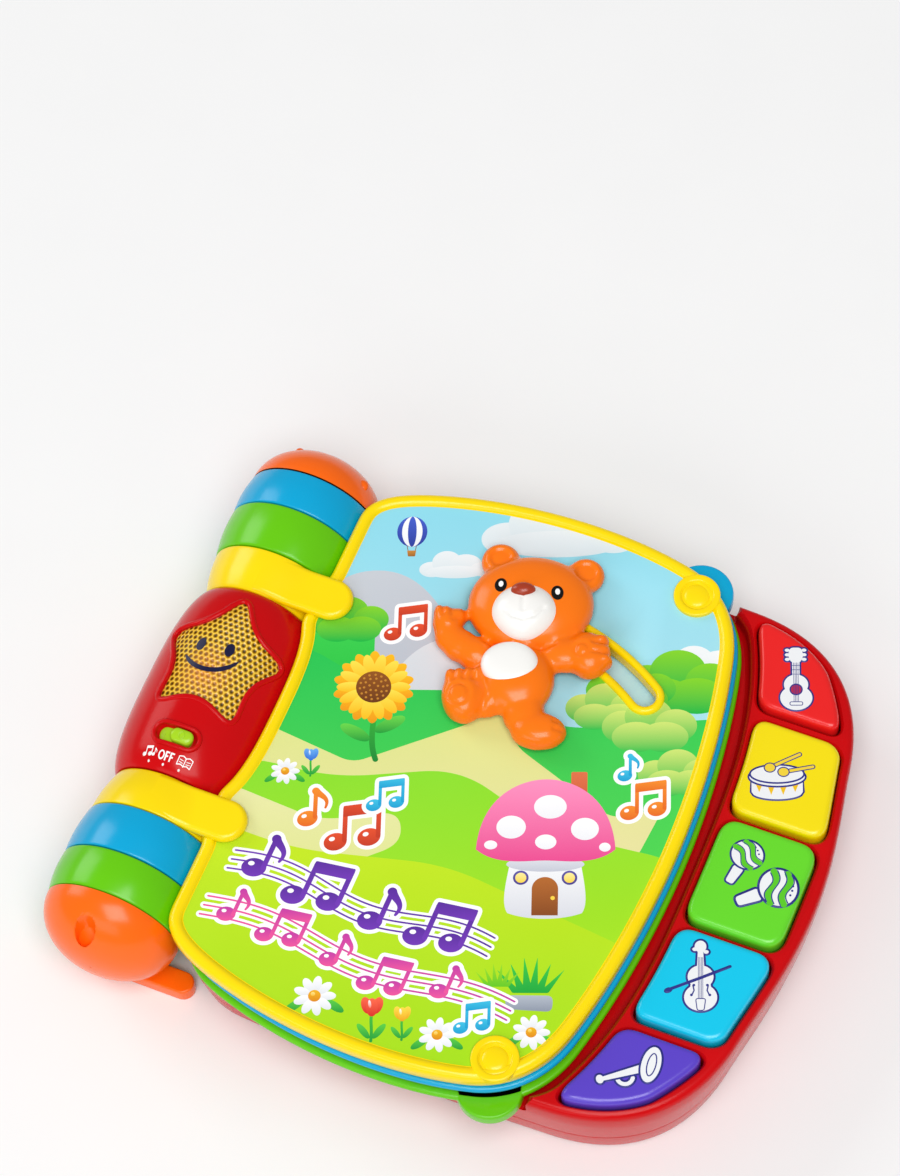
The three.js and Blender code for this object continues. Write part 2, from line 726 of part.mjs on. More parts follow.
function endCap(side) {
  const start = thirdRingEnd + runGap / 2;
  const dome = (shrink) => {
    const steps = 5;
    const radius = thirdRingRadius - shrink;
    const length = capLength - shrink;
    return Array.from({ length: steps + 1 }, (_, i) => {
      const angle = ((i / steps) * Math.PI) / 2;
      return [radius * Math.cos(angle), start + length * Math.sin(angle)];
    });
  };
  const shell = turned(
    [...dome(0), ...dome(wall).reverse(), [thirdRingRadius, start]].map(([r, y]) => [
      Math.abs(r) < 1e-9 ? 0 : r,
      side * y,
    ]),
  );
  const socketInner = axleRadius + seatGap;
  const socket = turned(
    [
      [socketInner, start],
      [socketInner + wall, start],
      [socketInner + wall, start + capLength],
      [socketInner, start + capLength],
      [socketInner, start],
    ].map(([r, y]) => [r, side * y]),
  );
  const y0 = side * (start + footWidth / 2);
  const foot = slab(stadium((baseLeft - 14) / 2, y0, baseLeft + 13, footWidth), 0, footHeight, 0.8);
  const clear = turned(
    [[0, start], ...dome(wall / 2)].map(([r, y]) => [Math.abs(r) < 1e-9 ? 0 : r, side * y]),
  );
  const slot = slab(stadium(baseLeft - 6, y0, 6, 2), -1, footHeight + 1);
  const cap = cut(join(shell, socket.intersect(clear), cut(foot, clear)), slot);
  if (side > 0) return cap;
  const wellFloor = axisZ + axleRadius + 2 * seatGap + wall / 2;
  const wellY = side * (start + capLength / 2);
  const boss = post(wellX, wellY, wellFloor, 2 * axisZ, wellRadius + wall / 2, 16).intersect(clear);
  return cut(join(cap, boss), post(wellX, wellY, wellFloor + wall / 2, 2 * axisZ, wellRadius, 16));
}

for (const [side, label] of [
  [1, "upper"],
  [-1, "lower"],
]) {
  piece(`hinge_axle_${label}`, turned(axleProfile(side)), steel);
  piece(`end_cap_${label}`, endCap(side), orange);
}

// Cover: straps, frame, prints

function coverRing(side) {
  const body = ring(barrelHalf, yellowRingEnd, waistRadius + 0.6, yellowRingRadius, side);
  const y = side * (barrelHalf + yellowRingWidth / 2);
  const z0 = coverTop + seatGap;
  const strap = slab(
    stadium(strapReach / 2 + 4, y, strapReach - 8 + yellowRingWidth - runGap, yellowRingWidth - runGap),
    z0,
    z0 + strapThickness,
    0.5,
  );
  return cut(join(body, strap), axleBore(boreRadius));
}

function coverSpineClear() {
  const barrel = barrelProfile(spineClear, barrelHalf);
  const rings = ringProfile(
    barrelHalf,
    yellowRingEnd + runGap / 2,
    waistRadius + 0.6 + seatGap,
    yellowRingRadius + seatGap,
    ringBulge,
  );
  const below = rings.map(([r, y]) => [r, -y]).reverse();
  return turned([[0, below[0][1]], ...below, ...barrel, ...rings, [0, rings.at(-1)[1]]]);
}

function coverFrame() {
  const plate = slab(coverShape, coverZ, coverTop, 1);
  const reach = yellowRingEnd - runGap;
  const tongue = box(12, coverLeft + 4, -reach, reach, coverZ, coverTop);
  const recess = slab(inset(coverShape, rimWidth), coverTop - rimRise, coverTop + 5);
  const backRecess = slab(inset(coverShape, rimWidth), coverZ - 5, coverZ + 1);
  const slotWall = slab(arcBand(slotHalf + slotRim, slotStart, slotEnd), coverTop - 3, coverTop + slotRimRise);
  const knobs = [1, -1].map((side) =>
    slab(disc(knobX, side * knobY, knobRadius), coverTop - 3, coverTop + 0.8, 0.4),
  );
  const slot = slab(arcBand(slotHalf, slotStart, slotEnd), coverZ - 1, coverTop + 5);
  const pocket = slab(
    arcBand(carriageHalf + runGap, slotStart + 4, slotEnd - 4, false),
    coverZ - 1,
    coverZ + 1 + carriageThickness + 2 * runGap,
  );
  const body = join(plate, tongue);
  return cut(join(cut(body, recess), slotWall, ...knobs), backRecess, pocket, slot, coverSpineClear());
}

piece("cover_frame", coverFrame(), yellow);
piece("cover_ring_upper", coverRing(1), yellow);
piece("cover_ring_lower", coverRing(-1), yellow);

function coverPrint() {
  const panel = slab(
    inset(coverShape, rimWidth + seatGap),
    coverTop - rimRise + 0.05,
    coverTop - rimRise + 0.05 + sheet,
  );
  const slotClear = slab(arcBand(slotHalf + slotRim + seatGap, slotStart, slotEnd), coverZ, coverTop + 5);
  const knobClear = [1, -1].map((side) =>
    slab(disc(knobX, side * knobY, knobRadius + seatGap), coverZ, coverTop + 5),
  );
  return cut(panel, slotClear, ...knobClear, coverSpineClear());
}
piece("cover_print_front", coverPrint(), paper);

const backPrint = cut(
  slab(inset(coverShape, rimWidth + seatGap), coverZ + seatGap, coverZ + seatGap + sheet),
  slab(arcBand(slotHalf, slotStart, slotEnd), coverZ - 1, coverTop),
);
piece("cover_print_back", backPrint, paper);

// Pages with their spine rings

function page(z, tab, spans) {
  const plate = slab(pageShape, z, z + pageThickness, 1);
  const thumb = slab(disc(tab.x, tab.y, tabRadius), z, z + pageThickness, 1);
  const recess = [z + pageThickness - 0.8, z - 5].map((from, i) =>
    slab(inset(pageShape, rimWidth), from, i ? z + 0.8 : from + 5),
  );
  const arms = spans.map(({ y0, y1, side }) => {
    const a = side * (y0 + runGap);
    const b = side * (y1 - runGap);
    return box(18, coverLeft + 8, Math.min(a, b), Math.max(a, b), z + 0.5, z + pageThickness - 0.5);
  });
  const rings = spans.map(({ y0, y1, r0, r1, side }) => ring(y0, y1, r0, r1, side));
  const recessed = cut(join(plate, thumb), ...recess);
  return cut(join(recessed, ...arms, ...rings), axleBore(boreRadius));
}

const second = { y0: yellowRingEnd, y1: secondRingEnd, r0: yellowRingRadius + 0.3, r1: secondRingRadius };
const third = { y0: secondRingEnd, y1: thirdRingEnd, r0: secondRingRadius, r1: thirdRingRadius };
piece("blue_page", page(blueZ, tabs[0], [{ ...second, side: -1 }, { ...third, side: 1 }]), blue);
piece("green_page", page(greenZ, tabs[1], [{ ...second, side: 1 }, { ...third, side: -1 }]), green);

const insidePrint = (z) => slab(inset(pageShape, rimWidth + seatGap), z, z + sheet);
piece("blue_page_print", insidePrint(blueZ + pageThickness - 0.75), paper);
piece("green_page_print", insidePrint(greenZ + pageThickness - 0.75), paper);

// The bear and its carriage

const postSpan = (Math.asin(postRadius / arcRadius) * 180) / Math.PI;
const restAngle = slotStart - postSpread - postSpan - 0.4;

function carriage() {
  const z0 = coverZ + 1 + runGap;
  const plate = slab(
    arcBand(carriageHalf, restAngle + carriageSpan, restAngle - carriageSpan, false),
    z0,
    z0 + carriageThickness,
  );
  const posts = [-1, 1].map((way) => {
    const angle = radians(restAngle + way * postSpread);
    const x = arcX + arcRadius * Math.cos(angle);
    const y = arcY + arcRadius * Math.sin(angle);
    return post(x, y, z0 + 1, coverTop + slotRimRise + runGap, postRadius, 16);
  });
  return join(plate, ...posts);
}
piece("bear_carriage", carriage(), gold);

const bearX = arcX + arcRadius * Math.cos(radians(restAngle)) + 2.7; // the middle of its head
const bearY = arcY + arcRadius * Math.sin(radians(restAngle)) + 2.4;
const bearTurn = radians(21);
const bearZ = coverTop + slotRimRise + runGap + seatGap;
const bearPlace = (u, v) => [
  bearX + u * Math.cos(bearTurn) - v * Math.sin(bearTurn),
  bearY + u * Math.sin(bearTurn) + v * Math.cos(bearTurn),
];

function lump(u, v, rise, ru, rv, rz, turn = 0) {
  const [x, y] = bearPlace(u, v);
  return ellipsoid(x, y, bearZ + rise, ru, rv, rz, bearTurn + radians(turn));
}

function bearBody() {
  const parts = join(
    lump(0, 0, 1, 23.7, 19.4, 10.5),
    lump(-12.5, 17.5, 1, 7, 7, 5),
    lump(19, 13, 1, 7, 7, 5),
    lump(-5.8, -27, 1, 16.5, 16, 9),
    lump(-21, -18, 1, 12, 7, 6, -28),
    lump(-30.5, -12, 1, 6, 9.5, 6.5, 15),
    lump(13, -20, 1, 13, 7, 6, -12),
    lump(24, -23, 1, 8, 7, 6.5, -30),
    lump(-17, -38, 1, 9, 8, 6.5, 30),
    lump(-25, -39, 1, 7, 10.5, 7.5, 10),
    lump(1, -42, 1, 8.5, 10, 6.5),
    lump(2.8, -51, 1, 10.8, 8.5, 7.5, -12),
  );
  return parts.intersect(box(0, baseRight, -coverHalf, 2 * coverHalf, bearZ, 2 * bearZ));
}

function bearSkin(shape, grow) {
  return shape.intersect(box(0, baseRight, -coverHalf, 2 * coverHalf, bearZ + grow, 2 * bearZ));
}

const muzzle = bearSkin(lump(-2.4, -5.5, 7, 12.6, 10.6, 8.5), 4);
const nose = lump(-2.8, 2.2, 13.4, 4.4, 2.9, 3.2);
const belly = bearSkin(lump(-7.4, -26.5, 2, 11, 9.5, 9.4), 4);
const bear = bearBody();
piece("bear_nose", nose, brown);
piece("bear_muzzle", cut(muzzle, lump(-2.8, 2.2, 13.4, 4.7, 3.2, 3.5)), white);
piece("bear_belly", belly, white);
piece(
  "bear_body",
  cut(
    bear,
    bearSkin(lump(-2.4, -5.5, 7, 12.9, 10.9, 8.8), 3.7),
    bearSkin(lump(-7.4, -26.5, 2, 11.3, 9.8, 9.7), 3.7),
    lump(-2.8, 2.2, 13.4, 4.7, 3.2, 3.5),
  ),
  orange,
);

export default model;
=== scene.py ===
"""Dresses the sound book: smooth mouldings, printed sheets, finishes, the stage and its camera.

X runs from the spine to the keys, Y along the spine and Z up. Shapes are worked out in millimetres
and stored in metres.
"""

import math

import bmesh
import bpy
import numpy as np
from mathutils import Matrix, Vector
from mathutils.bvhtree import BVHTree
from mathutils.geometry import delaunay_2d_cdt


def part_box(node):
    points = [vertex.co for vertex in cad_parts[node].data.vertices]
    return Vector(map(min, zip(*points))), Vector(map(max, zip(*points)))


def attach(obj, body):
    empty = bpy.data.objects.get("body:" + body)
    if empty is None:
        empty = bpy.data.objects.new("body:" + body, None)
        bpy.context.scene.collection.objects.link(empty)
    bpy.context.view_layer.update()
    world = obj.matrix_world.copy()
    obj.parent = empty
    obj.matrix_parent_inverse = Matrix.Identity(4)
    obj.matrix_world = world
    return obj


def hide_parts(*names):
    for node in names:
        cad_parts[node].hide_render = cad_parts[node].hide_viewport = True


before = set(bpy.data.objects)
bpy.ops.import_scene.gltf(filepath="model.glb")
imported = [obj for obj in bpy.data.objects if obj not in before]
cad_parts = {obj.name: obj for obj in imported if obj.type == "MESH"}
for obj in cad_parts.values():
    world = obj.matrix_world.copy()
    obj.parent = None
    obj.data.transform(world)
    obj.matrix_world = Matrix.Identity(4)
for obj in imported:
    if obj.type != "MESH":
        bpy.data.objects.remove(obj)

bl_info = {
    "name": "Sound book",
    "version": (1, 0, 0),
    "blender": (4, 5, 0),
    "location": "3D View > Sidebar > Sound book",
    "description": "Builds the visible mouldings and prints of a musical book with five keys",
    "category": "Add Mesh",
}

MM = 0.001


def box_mm(node):
    """Lowest and highest corner of a CAD node in millimetres."""
    return np.array(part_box(node)) / MM


# Places that the frame gives
COVER_Z = box_mm("cover_frame")[0][2]
BLUE_Z, BLUE_TOP = box_mm("blue_page_print")[0][2] - 5.25, box_mm("blue_page_print")[1][2]
GREEN_Z = box_mm("green_page_print")[0][2] - 5.25
HOUSING_TOP = box_mm("base_upper_shell")[1][2]
BASE_SPLIT = box_mm("base_upper_shell")[0][2]
BASE_RIGHT = box_mm("base_upper_shell")[1][0]
KEY_TOP = box_mm("key_green")[1][2]
BEAR_Z = box_mm("bear_body")[0][2]

# Sizes shared by several pieces
AXIS_Z = 30.0
BARREL = (28.8, 22.4, 40.8)  # radius in the middle, radius of the waist, half length
RING_ENDS = (40.8, 58.3, 77.5, 94.0)
RING_RADII = (22.6, 25.8, 27.4, 26.4)
BORE = 15.5
CAP_LENGTH = 19.6
COVER = (23.2, 187.4, 115.2)  # left, right, half length
PAGE = (31.5, 187.0, 115.5)
DULL = 0.16  # reflection of the red shells, whose walls face the floor
COVER_THICKNESS = 7.0
PAGE_THICKNESS = 6.0
RIM_FLOOR = 1.3  # the print lies this far below the rim
BASE = (32.3, 240.5, 109.0)
DECK_Z = 29.0
KNOBS = (156.0, 100.5, 8.8)
TABS = (155.5, 106.0, 12.4)
SLOT_ARC = (100.0, -25.0, 95.0)
SLOT_ANGLES = (97.5, 56.0)
SLOT_HALF = 4.2
KEY_INNER = (197.0, 18.6, 3.1)  # right, depth and power of the row's edges
KEY_OUTER = (234.2, 34.0, 3.2)
KEY_SLANT = 5.0
SECOND_KEY = 63.8
KEY_BORDER = 4.2
KEYS = {
    "red": (69.0, 107.0),
    "yellow": (24.8, 64.2),
    "green": (-21.8, 21.8),
    "blue": (-64.2, -24.8),
    "purple": (-107.0, -69.0),
}
UPRIGHT = math.radians(21)  # the pictures stand this far round from the spine


# Outlines and profiles


def bezier_chain(start, curves, steps=28):
    """Joined cubic curves: start, two handles and end, weighted by (1-t)^3, 3t(1-t)^2, 3t^2(1-t), t^3."""
    t = np.linspace(0, 1, steps, endpoint=False)[:, None]
    ends = [np.array(start, float)] + [np.array(c[2], float) for c in curves]
    spans = [
        (1 - t) ** 3 * a
        + 3 * t * (1 - t) ** 2 * np.array(c[0])
        + 3 * t**2 * (1 - t) * np.array(c[1])
        + t**3 * b
        for a, b, c in zip(ends, ends[1:], curves)
    ]
    return np.concatenate([*spans, ends[-1:]])


def mirrored(upper):
    """The upper half of an outline, from right to left, closed by its mirror image below."""
    return np.concatenate([upper, upper[-2:0:-1] * (1, -1)])


def resampled(outline, count):
    """The closed outline with `count` points at equal steps of its length."""
    loop = np.vstack([outline, outline[:1]])
    steps = np.hypot(*np.diff(loop, axis=0).T)
    length = np.concatenate([[0], np.cumsum(steps)])
    wanted = np.linspace(0, length[-1], count, endpoint=False)
    return np.stack([np.interp(wanted, length, loop[:, k]) for k in (0, 1)], axis=1)


def smoothed(outline, rounds):
    """Each point moves to the mean of its neighbours and itself, weighted 1-2-1, `rounds` times."""
    for _ in range(rounds):
        outline = (np.roll(outline, 1, 0) + 2 * outline + np.roll(outline, -1, 0)) / 4
    return outline


def anticlockwise(outline):
    """The outline, turned round where its signed area is negative."""
    x, y = outline.T
    area = np.sum(x * np.roll(y, -1) - np.roll(x, -1) * y)
    return outline if area > 0 else outline[::-1]


def inset(outline, distance):
    """Each point moves inwards by `distance` along the normal of the chord between its neighbours."""
    chord = np.roll(outline, -1, 0) - np.roll(outline, 1, 0)
    chord /= np.hypot(*chord.T)[:, None] + 1e-12
    return outline + distance * np.stack([-chord[:, 1], chord[:, 0]], axis=1)


def shrunk(outline, distance):
    """Each point of a convex outline moves towards the middle until it lies `distance` inside its edge."""
    chord = np.roll(outline, -1, 0) - np.roll(outline, 1, 0)
    chord /= np.hypot(*chord.T)[:, None] + 1e-12
    normal = np.stack([-chord[:, 1], chord[:, 0]], axis=1)
    towards = outline.mean(axis=0) - outline
    towards /= np.hypot(*towards.T)[:, None]
    slope = (towards * normal).sum(axis=1)[:, None].clip(0.35)
    return outline + distance * towards / slope


def softened(corners, radius, steps=6, closed=False):
    """Corners of a path rounded by quadratic curves that start and end `radius` away from each."""
    corners = np.array(corners, float)
    before, after = np.roll(corners, 1, 0), np.roll(corners, -1, 0)
    radius = np.broadcast_to(radius, len(corners))[:, None]

    def towards(other):
        step = other - corners
        length = np.hypot(*step.T)[:, None] + 1e-9
        return corners + step * np.minimum(radius / length, 0.48)

    t = np.linspace(0, 1, steps)[None, :, None]
    start, end = towards(before)[:, None], towards(after)[:, None]
    bends = (1 - t) ** 2 * start + 2 * t * (1 - t) * corners[:, None] + t**2 * end
    if closed:
        return bends.reshape(-1, 2)
    return np.concatenate([corners[:1], bends[1:-1].reshape(-1, 2), corners[-1:]])


def ellipse(x, y, rx, ry=None, turn=0, steps=36):
    """Points at equal angles: centre plus rx cos a along the turned axis and ry sin a across it."""
    ry = rx if ry is None else ry
    angle = np.linspace(0, 2 * np.pi, steps, endpoint=False)
    c, s = math.cos(math.radians(turn)), math.sin(math.radians(turn))
    u, v = rx * np.cos(angle), ry * np.sin(angle)
    return np.stack([x + u * c - v * s, y + u * s + v * c], axis=1)


def stadium(x, y, length, width, steps=16):
    """Two half circles of radius width/2 whose centres are length - width apart along X."""
    angle = np.linspace(-np.pi / 2, np.pi / 2, steps)
    radius, reach = width / 2, (length - width) / 2
    right = np.stack([reach + radius * np.cos(angle), radius * np.sin(angle)], axis=1)
    return np.concatenate([right, -right]) + (x, y)


def stroke(path, width, steps=8):
    """A path as a band: its points moved half the width to either side, with half circles at its ends."""
    path = np.array(path, float)
    half = np.broadcast_to(np.asarray(width, float) / 2, len(path))[:, None]
    run = np.gradient(path, axis=0)
    run /= np.hypot(*run.T)[:, None] + 1e-12
    side = np.stack([-run[:, 1], run[:, 0]], axis=1)
    angle = np.linspace(-np.pi / 2, np.pi / 2, steps + 2)[1:-1, None]
    end = path[-1] + half[-1] * (np.cos(angle) * run[-1] + np.sin(angle) * side[-1])
    start = path[0] - half[0] * (np.cos(angle) * run[0] + np.sin(angle) * side[0])
    return np.concatenate([path - side * half, end, (path + side * half)[::-1], start])


def arc(x, y, radius, first, last, steps=24):
    """Points on a circle between two angles in degrees."""
    angle = np.radians(np.linspace(first, last, steps))
    return np.stack([x + radius * np.cos(angle), y + radius * np.sin(angle)], axis=1)


def wave(x0, y0, x1, y1, rise, turns=1.0, steps=40):
    """A sine along a straight line: rise sin(2 pi turns t) across it."""
    t = np.linspace(0, 1, steps)[:, None]
    run = np.array([x1 - x0, y1 - y0])
    side = np.array([-run[1], run[0]]) / np.hypot(*run)
    return np.array([x0, y0]) + t * run + rise * np.sin(2 * np.pi * turns * t) * side


def polygon(corners, radius=0.6):
    """Straight-sided outline with its corners rounded."""
    return anticlockwise(softened(corners, radius, 5, True))


def star(x, y, tip, valley, points=5, round_off=0.3, steps=10):
    """Tips and valleys at equal angles; each corner is a quadratic curve from 0.3 of one side to the next."""
    angle = np.pi / 2 + np.arange(2 * points) * np.pi / points
    radius = np.where(np.arange(2 * points) % 2, valley, tip)
    corners = np.stack([x + radius * np.cos(angle), y + radius * np.sin(angle)], axis=1)
    before, after = np.roll(corners, 1, 0), np.roll(corners, -1, 0)
    start = corners + round_off * (before - corners)
    end = corners + round_off * (after - corners)
    t = np.linspace(0, 1, steps)[None, :, None]
    bends = (1 - t) ** 2 * start[:, None] + 2 * t * (1 - t) * corners[:, None] + t**2 * end[:, None]
    return bends.reshape(-1, 2)


def book_outline(left, right, half, heel_reach=19):
    """A bulging right edge, round shoulders and arched ends, as in the frame's cover and pages."""
    shoulder, flank, heel = (right - 37, half - 4), (right - 9.5, half - 34), (left + heel_reach, half - 8.5)
    upper = bezier_chain(
        (right, 0),
        [
            ((right, 0.34 * flank[1]), (right - 3.5, 0.71 * flank[1]), flank),
            ((flank[0] - 3.8, flank[1] + 15), (shoulder[0] + 14, shoulder[1] - 4), shoulder),
            ((shoulder[0] - 28, half + 3.5), (heel[0] + 34, half + 2.5), heel),
            ((heel[0] - 12, heel[1] - 4), (left, heel[1] - 9), (left, heel[1] - 19)),
        ],
    )
    return mirrored(np.vstack([upper, [(left, 60), (left, 30), (left, 0)]]))


def base_outline(left, right, half):
    """Straight ends and a wide round right side, as in the frame's base."""
    flank, shoulder, heel = (right - 8, half - 50), (right - 64, half - 1), (left + 17, half - 3)
    upper = bezier_chain(
        (right, 0),
        [
            ((right, 0.4 * flank[1]), (flank[0] + 2.5, flank[1] - 15), flank),
            ((flank[0] - 4.5, flank[1] + 27), (shoulder[0] + 35, shoulder[1] - 1), shoulder),
            ((shoulder[0] - 40, half + 0.4), (heel[0] + 40, half + 0.4), heel),
            ((heel[0] - 9, heel[1] - 1.5), (left, heel[1] - 5), (left, heel[1] - 13)),
        ],
    )
    return mirrored(np.vstack([upper, [(left, 50), (left, 25), (left, 0)]]))


def key_edge(y, right, depth, power):
    """right - depth (|y|/104)^power, the bowed edges of the row of keys."""
    return right - depth * (np.abs(y) / 104) ** power


def key_outline(y0, y1, corner, grow=0.0):
    """A round square from 0 to 1 laid between the edges of the row: p across it and q along it."""
    square = softened([(0, 0), (1, 0), (1, 1), (0, 1)], corner, 14, True)
    p, q = resampled(square, 200).T
    slope = KEY_SLANT * (1 - p)
    low = y0 - grow + (slope if y0 < -SECOND_KEY - 1 else 0)
    high = y1 + grow - (slope if y1 > SECOND_KEY + 1 else 0)
    y = low + (high - low) * q
    inner = key_edge(y, *KEY_INNER) - grow
    outer = key_edge(y, *KEY_OUTER) + grow
    outline = anticlockwise(np.stack([inner + (outer - inner) * p, y], axis=1))
    border = inset(resampled(base_outline(*BASE), 400), KEY_BORDER - grow)
    middle = outline.mean(axis=0)
    for _ in range(4):
        over = np.clip(distance_to(border, *outline.T), 0, None)[:, None]
        inwards = middle - outline
        outline = outline + over * inwards / np.hypot(*inwards.T)[:, None]
    return resampled(smoothed(outline, 4), 200)


def arc_band(half_width, first=SLOT_ANGLES[0], last=SLOT_ANGLES[1]):
    """A band of that half width along the bear's arc, with half circles at both ends."""
    angle = np.radians(np.linspace(last, first, 60))
    x, y, radius = SLOT_ARC
    path = np.stack([x + radius * np.cos(angle), y + radius * np.sin(angle)], axis=1)
    return resampled(stroke(path, 2 * half_width, 12), 200)


# Surfaces


def ring_faces(rows, count, first=True, last=True, around=False):
    """Quads between neighbouring rings of `count` points, and one face over each open end."""
    row = np.arange(rows if around else rows - 1)[:, None]
    column = np.arange(count)[None, :]
    following = (column + 1) % count
    above = (row + 1) % rows
    quads = np.stack(
        [row * count + column, row * count + following, above * count + following, above * count + column],
        axis=-1,
    )
    faces = quads.reshape(-1, 4).tolist()
    if first:
        faces.append(list(range(count))[::-1])
    if last:
        faces.append(list(range((rows - 1) * count, rows * count)))
    return faces


def swept(outline, profile, around=False):
    """The outline repeated at each [inset, z] of the profile; a closed body, or a closed band if around."""
    rings = [
        np.column_stack([inset(outline, distance), np.full(len(outline), z)])
        for distance, z in np.array(profile, float)
    ]
    points = np.concatenate(rings)
    return points, ring_faces(len(rings), len(outline), not around, not around, around)


def slab(outline, z0, z1, top=1.0, bottom=1.0):
    """A flat body whose upper and lower edges are rounded, with a narrow flat ring inside each."""
    corners = [(bottom + 0.5, z0), (0, z0), (0, z1), (top + 0.5, z1)]
    profile = softened(corners, [0, bottom, top, 0], 8)
    return swept(outline, profile)


def turned(profile, side=1, steps=168):
    """A closed [radius, y] profile turned about the spine: x = r sin a, z = axis + r cos a."""
    profile = np.array(profile, float)
    angle = np.linspace(0, 2 * np.pi, steps, endpoint=False)[None, :]
    radius, y = profile[:, :1], profile[:, 1:] * side
    grid = np.stack([radius * np.sin(angle), y + 0 * angle, AXIS_Z + radius * np.cos(angle)], axis=-1)
    return grid.reshape(-1, 3), ring_faces(len(profile), steps, False, False, True)


def wall_between(front, back):
    """A closed wall: the front grid, the back grid turned over, and quads along their four edges."""
    rows, columns = front.shape[:2]
    index = np.arange(rows * columns).reshape(rows, columns)
    quads = np.stack([index[:-1, :-1], index[:-1, 1:], index[1:, 1:], index[1:, :-1]], axis=-1).reshape(-1, 4)
    edge = np.concatenate([index[0, :-1], index[:-1, -1], index[-1, :0:-1], index[:0:-1, 0]])
    after, total = np.roll(edge, -1), rows * columns
    rim = np.stack([edge, edge + total, after + total, after], axis=-1)
    faces = np.concatenate([quads, quads[:, ::-1] + total, rim]).tolist()
    return np.concatenate([front.reshape(-1, 3), back.reshape(-1, 3)]), faces


def tube(path, normal, across, rise, steps=14):
    """A closed loop thickened: path + across cos a sideways + rise sin a along the surface normal."""
    run = np.roll(path, -1, 0) - np.roll(path, 1, 0)
    side = np.cross(normal, run)
    side /= np.linalg.norm(side, axis=1)[:, None]
    angle = np.linspace(0, 2 * np.pi, steps, endpoint=False)[:, None, None]
    grid = path + across * np.cos(angle) * side + rise * np.sin(angle) * normal
    return grid.reshape(-1, 3), ring_faces(steps, len(path), False, False, True)


def ball(centre, radii, turn=0.0, steps=28):
    """An ellipsoid: radii times sin a cos b, sin a sin b and cos a, turned about Z."""
    a = np.linspace(0.02, np.pi - 0.02, steps)[:, None]
    b = np.linspace(0, 2 * np.pi, 2 * steps, endpoint=False)[None, :]
    local = np.stack([np.sin(a) * np.cos(b), np.sin(a) * np.sin(b), np.cos(a) + 0 * b], axis=-1) * radii
    c, s = math.cos(turn), math.sin(turn)
    spun = local @ np.array([[c, s, 0], [-s, c, 0], [0, 0, 1]])
    return (spun + centre).reshape(-1, 3), ring_faces(steps, 2 * steps)


def joined(skins):
    """Several skins as one: their points in a row and their faces counted on."""
    offsets = np.cumsum([0] + [len(points) for points, _ in skins])
    faces = [[i + int(start) for i in face] for start, (_, made) in zip(offsets, skins) for face in made]
    return np.concatenate([points for points, _ in skins]), faces


def put(name, skins, material, body, replaces=(), angle=32):
    """Makes one finished piece of closed skins, its faces outwards, and ties it to its body."""
    points, faces = joined(skins)
    mesh = bpy.data.meshes.new(name)
    mesh.from_pydata((points * MM).tolist(), [], faces)
    work = bmesh.new()
    work.from_mesh(mesh)
    bmesh.ops.remove_doubles(work, verts=work.verts, dist=1e-7)
    bmesh.ops.recalc_face_normals(work, faces=work.faces)
    work.to_mesh(mesh)
    work.free()
    return tie(name, mesh, material, body, replaces, angle)


def tie(name, mesh, material, body, replaces=(), angle=32):
    """Shades a mesh smooth up to `angle`, gives it its material and lets it ride on its body."""
    mesh.shade_smooth()
    mesh.set_sharp_from_angle(angle=math.radians(angle))
    mesh.materials.clear()
    mesh.materials.append(material)
    piece = bpy.data.objects.new(name, mesh)
    bpy.context.scene.collection.objects.link(piece)
    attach(piece, body)
    if replaces:
        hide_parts(*replaces)
    return piece


def carved(name, whole, cutters):
    """The mesh of one skin less the others, by exact booleans."""
    made = []
    for i, skins in enumerate([[whole], *cutters]):
        points, faces = joined(skins)
        mesh = bpy.data.meshes.new(f"{name}_{i}")
        mesh.from_pydata((points * MM).tolist(), [], faces)
        work = bmesh.new()
        work.from_mesh(mesh)
        bmesh.ops.remove_doubles(work, verts=work.verts, dist=1e-7)
        bmesh.ops.recalc_face_normals(work, faces=work.faces)
        work.to_mesh(mesh)
        work.free()
        thing = bpy.data.objects.new(f"{name}_{i}", mesh)
        bpy.context.scene.collection.objects.link(thing)
        made.append(thing)
    for cutter in made[1:]:
        step = made[0].modifiers.new("cut", "BOOLEAN")
        step.operation = "DIFFERENCE"
        step.solver = "EXACT"
        step.object = cutter
    bpy.context.view_layer.update()
    result = bpy.data.meshes.new_from_object(made[0].evaluated_get(bpy.context.evaluated_depsgraph_get()))
    for thing in made:
        bpy.data.objects.remove(thing)
    return result


# Prints


